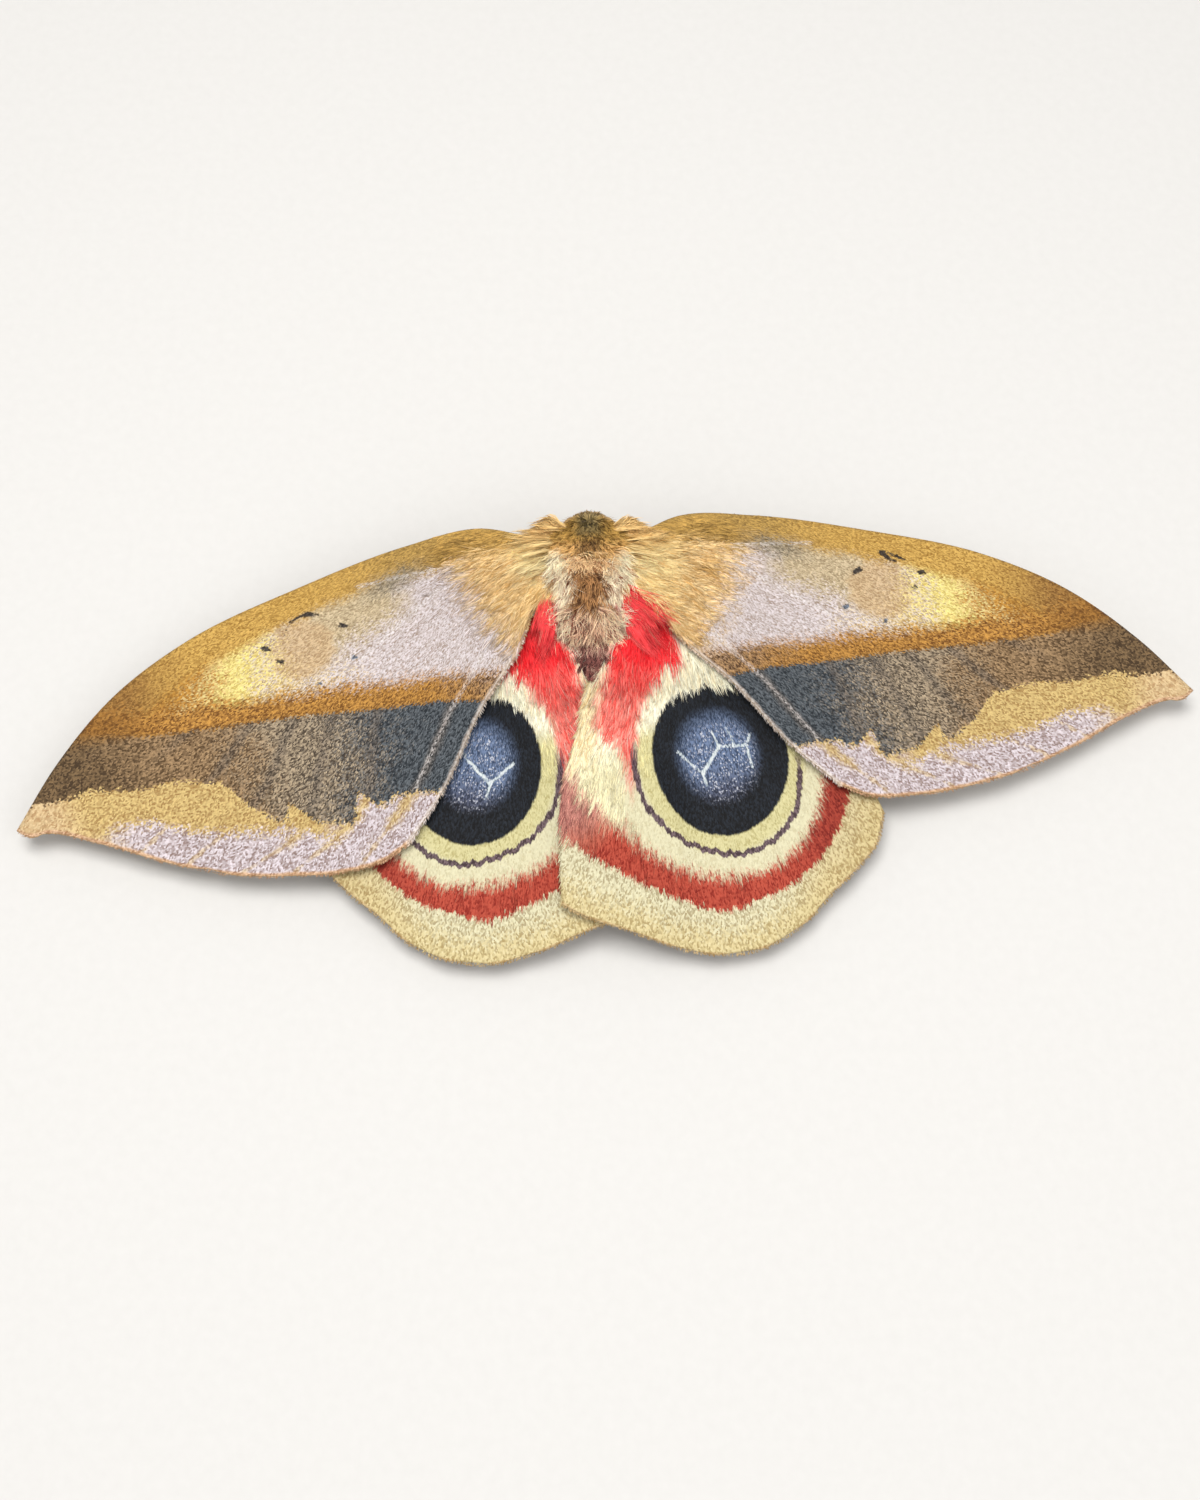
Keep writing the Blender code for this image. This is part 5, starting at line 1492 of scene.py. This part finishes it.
def flank_hair(side, finish):
    """Crimson hair from the thorax's side out over the root of the hind wing."""
    draw = np.random.default_rng(71 + SIDES[side])
    roots, normals = rooted(random_ball(draw, 60000), THORAX_CENTRE, THORAX_SKIN)
    x, y, z = roots.T * np.array((SIDES[side], 1, 1))[:, None]
    keep = (x > 2.7) & (y > -3.6) & (y < 0.2 - 0.25 * x + 0.9) & (z > 6.6) & (z < 9.0)
    roots, normals = roots[keep][:2600], normals[keep][:2600]
    aside = 0.85 if side == "right" else -0.30
    heading = np.tile((aside, -1.0, -0.30), (len(roots), 1))
    if side == "right":
        heading[:, 0] += 1.1 * smooth(-1.6, 0.2, roots[:, 1])
    seen = roots * (0.0, 1.0, 1.0) + (4.4 * SIDES[side], -1.2, 0.0)
    length = (2.4 + 3.4 * draw.uniform(0, 1, len(roots)) ** 1.2) * (1.0 if side == "right" else 0.85)
    return body_hair(
        f"flank_hair_{side}", finish, "thorax_fur", draw, roots, normals, heading, length, 0.085, 5,
        seen, sag=0.9, sway=0.06, tuft=10, gather=0.35, rest=rest_height,
    )


def waist_hair(finish):
    """Dark hair that rises between the hind wings' inner edges and lies over them."""
    draw = np.random.default_rng(26)
    count = 3400
    y = -4.4 - 5.4 * draw.uniform(0, 1, count) ** 0.9
    wide = waist_width(y - 0.8)
    middle, half = abdomen_at(y)
    x = WAIST_MIDDLE * smooth(-4.0, -6.0, y) + draw.uniform(-1, 1, count) * wide * 0.86
    turn = np.arcsin(np.clip(x / half, -0.95, 0.95))
    way = vectors(np.sin(turn), 0.0, np.cos(turn))
    roots = vectors(0.0, y, middle) + way * (half - 0.3)[:, None]
    heading = vectors((x - WAIST_MIDDLE) * 0.16, -1.0, 0.10)
    heading[:, 0] -= 0.55 * (x - WAIST_MIDDLE) * smooth(-6.0, -8.0, y)
    length = 1.9 * (0.55 + 0.45 * smooth(-9.0, -7.0, y))
    return body_hair(
        "waist_hair", finish, "abdomen_fur", draw, roots, way, heading, length, 0.095, 22, sag=0.5,
        sway=0.16, tuft=9, gather=0.5, rest=rest_height, bends=CURLY, curl=0.06,
    )


def limb_coat(finish):
    """Hair of the six legs and the two palps."""
    draw = np.random.default_rng(24)
    roots, normals, headings, lengths, limbs, places = [], [], [], [], [], []
    row = 0
    for side in SIDES:
        for place in (*LEG_JOINTS, "palp"):
            if place == "palp":
                share = np.linspace(0, 1, 30)
                route, girth = palp_route(side, share), 0.34 - 0.14 * share
                foot, joint = 0 * share, 0 * share
                count, size = 300, 0.55
            else:
                route, girth, foot, joint = leg_route(place, side)
                count, size = 640, 0.85
            share = draw.uniform(0.02, 0.985, count) ** 1.15 * (len(route) - 1)
            i = np.minimum(share.astype(int), len(route) - 2)
            part = (share - i)[:, None]
            middle = route[i] * (1 - part) + route[i + 1] * part
            ahead = unit(route[i + 1] - route[i])
            turn = draw.uniform(0, 2 * math.pi, count)
            across = unit(np.cross(ahead, (0, 0, 1.0)))
            upward = np.cross(across, ahead)
            way = across * np.cos(turn)[:, None] + upward * np.sin(turn)[:, None]
            on_foot = foot[i]
            roots.append(middle + way * (girth[i] * 0.92)[:, None])
            normals.append(way)
            closing = 1.3 * smooth(0.70, 1.0, share / len(route)) if place == "palp" else np.zeros(count)
            headings.append(ahead - way * closing[:, None])
            lengths.append(size * (1 - 0.62 * on_foot))
            is_leg = 0.0 if place == "palp" else 1.0
            limbs.append(vectors(is_leg, on_foot, joint[i] * 0.5))
            places.append(vectors(0.03 + 0.94 * share / len(route), (row + 0.1 + 0.8 * turn / 6.3) / 8))
            row += 1
    clear = np.concatenate(roots)[:, 2] > 0.14
    chosen = [np.concatenate(rows)[clear] for rows in (roots, normals, headings, lengths, limbs, places)]
    roots, normals, headings, lengths, limbs, places = chosen
    return hair_piece(
        "leg_hair", finish, "leg_fur", draw, roots, normals, headings, lengths, 0.08, 24,
        {"root": roots, "limb": limbs}, places, sag=0.5, sway=0.14, tuft=6, bends=SHORT,
    )


def wing_hair(name, wing, finish, draw, u, v, length, width, lift, source, raise_by=0.0, **habit):
    """Hairs on a wing's upper face, combed away from a source in the wing's plan."""
    places = wing.plan(u, v)
    roots = wing.top(places, u, wing_relief(wing, places, u, v) - 0.04 + raise_by)
    way = unit(places - np.array(source))
    ahead = wing.top(places + way * 0.5, u)
    beside = wing.top(places + way[:, ::-1] * (0.5, -0.5), u)
    here = wing.top(places, u)
    heading = unit(ahead - here)
    normals = unit(np.cross(heading, beside - here))
    normals = normals * np.sign(normals[:, 2:3])
    fields = wing.fields(places, np.ones(len(places)))
    bake_places = 0.02 + 0.96 * wing.flat_share(places)
    slot = "fore_wing" if wing.pair == "forewing" else "hind_wing"
    return hair_piece(name, finish, slot, draw, roots, normals, heading, length, width, lift, fields,
                      bake_places, **habit)


TAN_REACH = {"left": 8.6, "right": 11.4}


def forewing_base_hair(wing, finish):
    """Tan fur over the root of the fore wing, thinning out towards the cell."""
    draw = np.random.default_rng(31 + wing.hand)
    u, v = draw.uniform(0.0, 0.30, 42000), draw.uniform(0.0, 1.0, 42000)
    places = wing.plan(u, v)
    s, c = places.T
    wanted = smooth(TAN_REACH[wing.side] + 0.5, 3.0, s + 0.2 * c) * 0.9 + 0.02
    x = wing.in_plan(places)[0]
    area = (u * 57 + 6) / 23
    keep = (draw.uniform(0, 1, len(s)) < wanted * area * 0.55) & (np.abs(x) > 3.2) & (s > -2.6)
    u, v, s = u[keep][:6500], v[keep][:6500], s[keep][:6500]
    edge = distance_to(wing.plan(u, v), wing.costa)
    length = (2.6 - 1.5 * smooth(0.0, 10.0, s)) * (0.45 + 0.55 * smooth(0.4, 2.4, edge))
    lift = (16 - 9 * smooth(2.0, 10.0, s)) * (0.3 + 0.7 * smooth(0.4, 2.4, edge))
    wing_hair(
        f"forewing_{wing.side}_root_hair", wing, finish, draw, u, v, length, 0.085, lift, (-15.0, -5.5),
        sway=0.20, tuft=8, gather=0.4,
    )


def hindwing_hair(wing, finish):
    """Long hair from the hinge down to the eyespot and along the inner edge."""
    draw = np.random.default_rng(41 + wing.hand)
    u, v = draw.uniform(0.0, 0.80, 60000), draw.uniform(0.0, 1.0, 60000)
    places = wing.plan(u, v)
    s, c = places.T
    x, y = wing.in_plan(places)
    spot = hindwing_fields(wing, places, np.ones(len(s)))["spot"][:, 0]
    reach = smooth(18.0, 11.0, c + 0.35 * s)
    inner = smooth(1.5, -1.5, s) * smooth(24.0, 18.0, c)
    wanted = np.maximum(reach, inner)
    wanted = wanted * np.where(spot < 0, smooth(-1.3, 0.0, spot) * smooth(12.0, 9.0, c) * 0.6, 1.0)
    keep = draw.uniform(0, 1, len(s)) < wanted * (0.12 + u) * 0.95
    keep &= np.abs(x - WAIST_MIDDLE) > waist_width(y) * 0.95
    u, v, c, spot = u[keep][:7600], v[keep][:7600], c[keep][:7600], spot[keep][:7600]
    near = smooth(2.5, 0.3, spot)
    length = 2.8 - 1.3 * smooth(4.0, 13.0, c) - (0.5 + 0.7 * smooth(14.0, 10.0, c)) * near
    wing_hair(
        f"hindwing_{wing.side}_long_hair", wing, finish, draw, u, v, length, 0.08, 8 - 3 * near,
        HINDWING_COMB_SOURCE, sway=0.12, tuft=9, gather=0.25,
    )


def hindwing_short_hair(wing, finish):
    """Hair scales of the red band, whose tips break its edges."""
    draw = np.random.default_rng(51 + wing.hand)
    u, v = draw.uniform(0.35, 0.97, 26000), draw.uniform(0.0, 1.0, 26000)
    places = wing.plan(u, v)
    s, c = places.T
    band = hindwing_fields(wing, places, np.ones(len(s)))["rings"][:, 2]
    wanted = smooth(-0.40, 0.0, band) * smooth(1.06, 0.96, band) * smooth(9.0, 14.0, c)
    keep = draw.uniform(0, 1, len(s)) < wanted * (0.3 + u) * 0.8
    u, v = u[keep][:3600], v[keep][:3600]
    wing_hair(
        f"hindwing_{wing.side}_short_hair", wing, finish, draw, u, v, 0.8, 0.10, 5,
        HINDWING_COMB_SOURCE, sway=0.07, tuft=6, gather=0.2, bends=SHORT, gloss=0.25,
    )


def wing_fringe(wing, finish):
    """Short hair scales that stand out all along the outer and inner edges."""
    draw = np.random.default_rng(61 + wing.hand + (4 if wing.pair == "forewing" else 0))
    outer, rear = 1150, 750
    u = np.concatenate([draw.uniform(0.988, 1.0, outer), draw.uniform(0.10, 0.99, rear)])
    v = np.concatenate([draw.uniform(0.0, 1.0, outer), draw.uniform(0.988, 1.0, rear)])
    hind = wing.pair == "hindwing"
    length = np.concatenate([np.full(outer, 0.24), np.full(rear, 0.80 if hind else 0.42)])
    sources = (4.0, 2.0) if hind else (16.0, -12.0)
    wing_hair(
        f"{wing.pair}_{wing.side}_fringe", wing, finish, draw, u, v, length, 0.07, 1, sources,
        sway=0.12, tuft=4, gather=0.15, raise_by=-0.10, bends=SHORT, gloss=0.25,
    )


# Antennae and eyes

def comb_tree(finish):
    """Nodes that clothe a line with a tapering shaft and a row of comb teeth on each side."""
    tree = bpy.data.node_groups.new("combed antenna", "GeometryNodeTree")
    for name, kind in (("Route", "NodeSocketGeometry"), ("Shaft Radius", "NodeSocketFloat"),
                       ("Teeth", "NodeSocketInt"), ("Tooth Length", "NodeSocketFloat"),
                       ("Tooth Radius", "NodeSocketFloat")):
        tree.interface.new_socket(name, in_out="INPUT", socket_type=kind)
    tree.interface.new_socket("Antenna", in_out="OUTPUT", socket_type="NodeSocketGeometry")
    entry, leave = tree.nodes.new("NodeGroupInput"), tree.nodes.new("NodeGroupOutput")

    def put(kind, settings=None, **inputs):
        made = tree.nodes.new(kind)
        for key, value in (settings or {}).items():
            setattr(made, key, value)
        for key, value in inputs.items():
            socket = made.inputs[int(key[1:]) if key[1:].isdigit() else key.replace("_", " ")]
            if isinstance(value, bpy.types.NodeSocket):
                tree.links.new(value, socket)
            else:
                socket.default_value = value
        return made.outputs[0]

    def maths(operation, a, b=0.0, c=0.0):
        return put("ShaderNodeMath", {"operation": operation}, i0=a, i1=b, i2=c)

    curve = put("GeometryNodeMeshToCurve", Mesh=entry.outputs["Route"])
    share = tree.nodes.new("GeometryNodeSplineParameter").outputs["Factor"]
    even = put("GeometryNodeResampleCurve", Curve=curve, Count=90)
    bead = maths("SINE", maths("MULTIPLY", share, 2 * math.pi * 42))
    taper = maths("MULTIPLY_ADD", share, -0.5, 1.12)
    taper = maths("MULTIPLY", taper, maths("MULTIPLY_ADD", bead, 0.07, 1.0))
    radius = maths("MULTIPLY", taper, entry.outputs["Shaft Radius"])
    ring = put("GeometryNodeCurvePrimitiveCircle", Resolution=8, Radius=1.0)
    parts = [put("GeometryNodeCurveToMesh", Curve=even, Profile_Curve=ring, Scale=radius, Fill_Caps=True)]

    rows = put("GeometryNodeResampleCurve", Curve=curve, Count=entry.outputs["Teeth"])
    tangent = tree.nodes.new("GeometryNodeInputTangent").outputs[0]
    for hand in (-1.0, 1.0):
        side = put("ShaderNodeVectorMath", {"operation": "CROSS_PRODUCT"}, i0=tangent, i1=(0, 0, hand))
        side = put("ShaderNodeVectorMath", {"operation": "NORMALIZE"}, i0=side)
        lean = put("ShaderNodeVectorMath", {"operation": "MULTIPLY"}, i0=tangent, i1=(0.62, 0.62, 0.62))
        way = put("ShaderNodeVectorMath", {"operation": "ADD"}, i0=side, i1=lean)
        way = put("ShaderNodeVectorMath", {"operation": "ADD"}, i0=way, i1=(0, 0, -0.22))
        turn = put("FunctionNodeAlignRotationToVector", {"axis": "Z"}, Vector=way)
        tooth = tree.nodes.new("GeometryNodeMeshCone")
        for key, value in (("Vertices", 5), ("Side Segments", 3), ("Radius Top", 0.0), ("Depth", 1.0)):
            tooth.inputs[key].default_value = value
        tree.links.new(entry.outputs["Tooth Radius"], tooth.inputs["Radius Bottom"])
        swell = maths("POWER", maths("SINE", maths("MULTIPLY_ADD", share, 2.75, 0.22)), 0.7)
        long = maths("MULTIPLY", swell, entry.outputs["Tooth Length"])
        size = put("ShaderNodeCombineXYZ", X=1.0, Y=1.0, Z=long)
        set_on = put("GeometryNodeInstanceOnPoints", Points=rows, Instance=tooth.outputs[0], Rotation=turn,
                     Scale=size)
        parts.append(put("GeometryNodeRealizeInstances", Geometry=set_on))
    join = tree.nodes.new("GeometryNodeJoinGeometry")
    for part in reversed(parts):
        tree.links.new(part, join.inputs[0])
    dressed = put("GeometryNodeSetMaterial", Geometry=join.outputs[0], Material=finish)
    dressed = put("GeometryNodeSetShadeSmooth", i0=dressed)
    tree.links.new(dressed, leave.inputs[0])
    return tree


def antenna(side, tree, finish):
    """The combed antenna of one side, swept back beside the thorax."""
    route = along(np.array(ANTENNA_ROUTE) * (SIDES[side], 1, 1), np.linspace(0, 1, 60))
    name = f"antenna_{side}_combed"
    mesh = bpy.data.meshes.new(name)
    mesh.from_pydata((route * MM + ORIGIN).tolist(), [(k, k + 1) for k in range(59)], [])
    made = added_object(name, mesh)
    grow = made.modifiers.new("comb", "NODES")
    grow.node_group = tree
    sizes = {"Shaft Radius": 0.17 * MM, "Teeth": 46, "Tooth Length": 1.25 * MM, "Tooth Radius": 0.05 * MM}
    for item in tree.interface.items_tree:
        if item.in_out == "INPUT" and item.name in sizes:
            grow[item.identifier] = sizes[item.name]
    made = baked_object(made)
    if not made.data.materials:
        made.data.materials.append(finish)
    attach(made, "root")
    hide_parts(f"antenna_{side}")
    return made


def eye(side, finish):
    points, faces = ellipsoid(EYE_CENTRE * (SIDES[side], 1, 1), EYE_RADII, 64, 40)
    made = mesh_object(f"eye_{side}_facets", points, faces, finish)
    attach(made, "root")
    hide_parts(f"eye_{side}")
    return made


def claws(finish):
    """Two small hooked claws on each foot, as one piece."""
    shapes = []
    for side in SIDES:
        for place in LEG_JOINTS:
            route = leg_route(place, side)[0]
            toe, ahead = route[-1], unit((route[-1] - route[-8]) * (1, 1, 0))
            across = unit(np.cross(ahead, (0.0, 0.0, 1.0)))
            for hand in (-1, 1):
                hook = toe + np.outer((-0.12, 0.12, 0.30, 0.42), ahead)
                hook += np.outer((0.04, 0.12, 0.17, 0.16), across * hand)
                hook[:, 2] = np.array((1.0, 1.1, 0.7, 0.2)) * toe[2] + (0.0, 0.06, 0.05, 0.02)
                hook = along(hook, np.linspace(0, 1, 10))
                shapes.append(tube(hook, np.linspace(0.075, 0.012, 10), columns=8))
    made = mesh_object("claws", *joined(shapes), finish)
    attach(made, "root")
    return made


# Camera, floor and light

def add_camera():
    """The photograph's view, from above and behind, with the head's end up."""
    tilt = math.radians(CAMERA_TILT)
    lens = bpy.data.cameras.new("camera")
    lens.sensor_fit = "VERTICAL"
    lens.sensor_height = CAMERA_SENSOR
    lens.lens = CAMERA_LENS
    lens.clip_start = 0.005
    camera = added_object("camera", lens)
    place = CAMERA_TARGET + CAMERA_AWAY * np.array((0.0, -math.cos(tilt), math.sin(tilt)))
    camera.location = place * MM + ORIGIN
    camera.rotation_euler = (math.pi / 2 - tilt, 0.0, 0.0)
    bpy.context.scene.camera = camera


def add_floor():
    f = Finish("floor", Roughness=0.9)
    place = f.node("ShaderNodeTexCoord", {}, {}, "Object")
    grain = f.clouds(place, 900.0, 3.0, flat=False)
    finish = f.shows(Base_Color=f.blend(grain, (0.60, 0.595, 0.59), (0.64, 0.635, 0.63)))
    mesh = bpy.data.meshes.new("floor")
    reach = 1.5
    mesh.from_pydata([(-reach, -reach, 0), (reach, -reach, 0), (reach, reach, 0), (-reach, reach, 0)], [],
                     [(0, 1, 2, 3)])
    mesh.materials.append(finish)
    floor = added_object("floor", mesh)


def add_light(name, place, size, power, colour=(1, 1, 1)):
    """A square lamp at a place in metres, turned to the origin."""
    data = bpy.data.lights.new(name, "AREA")
    data.size = size
    data.energy = power
    data.color = colour
    light = added_object(name, data)
    light.location = place
    light.rotation_euler = (-light.location).to_track_quat("-Z", "Y").to_euler()


def add_studio():
    add_light("key", (-0.05, 0.03, 0.46), 0.26, 2.05, (1.0, 0.98, 0.94))
    add_light("fill", (0.30, -0.20, 0.34), 0.40, 0.75, (1.0, 0.99, 0.97))
    add_light("low", (-0.30, -0.32, 0.16), 0.30, 0.3)
    world = bpy.data.worlds.new("studio")
    world.use_nodes = True
    sky = world.node_tree.nodes["Background"]
    sky.inputs["Color"].default_value = (1.0, 0.985, 0.96, 1.0)
    sky.inputs["Strength"].default_value = 0.46
    bpy.context.scene.world = world
    bpy.context.scene.view_settings.view_transform = "Standard"


def main():
    add_camera()
    add_floor()
    add_studio()
    hind = hindwing_finish()
    fur = body_finish()
    for pair in ("forewing", "hindwing"):
        for side in SIDES:
            WINGS[pair, side] = Wing(pair, side)
    for (pair, side), wing in WINGS.items():
        scales = forewing_finish(side, TAN_REACH[side]) if pair == "forewing" else hind
        membrane(wing, scales)
        wing_fringe(wing, scales)
        if pair == "forewing":
            forewing_base_hair(wing, scales)
        else:
            hindwing_hair(wing, scales)
            hindwing_short_hair(wing, scales)
    body_skin(fur)
    thorax_coat(fur)
    waist_hair(fur)
    head_coat(fur)
    abdomen_coat(fur)
    limb_coat(fur)
    horn, facets = antenna_finish(), eye_finish()
    tree = comb_tree(horn)
    claws(horn)
    for side in SIDES:
        shoulder_tufts(side, fur)
        flank_hair(side, fur)
        antenna(side, tree, horn)
        eye(side, facets)


main()
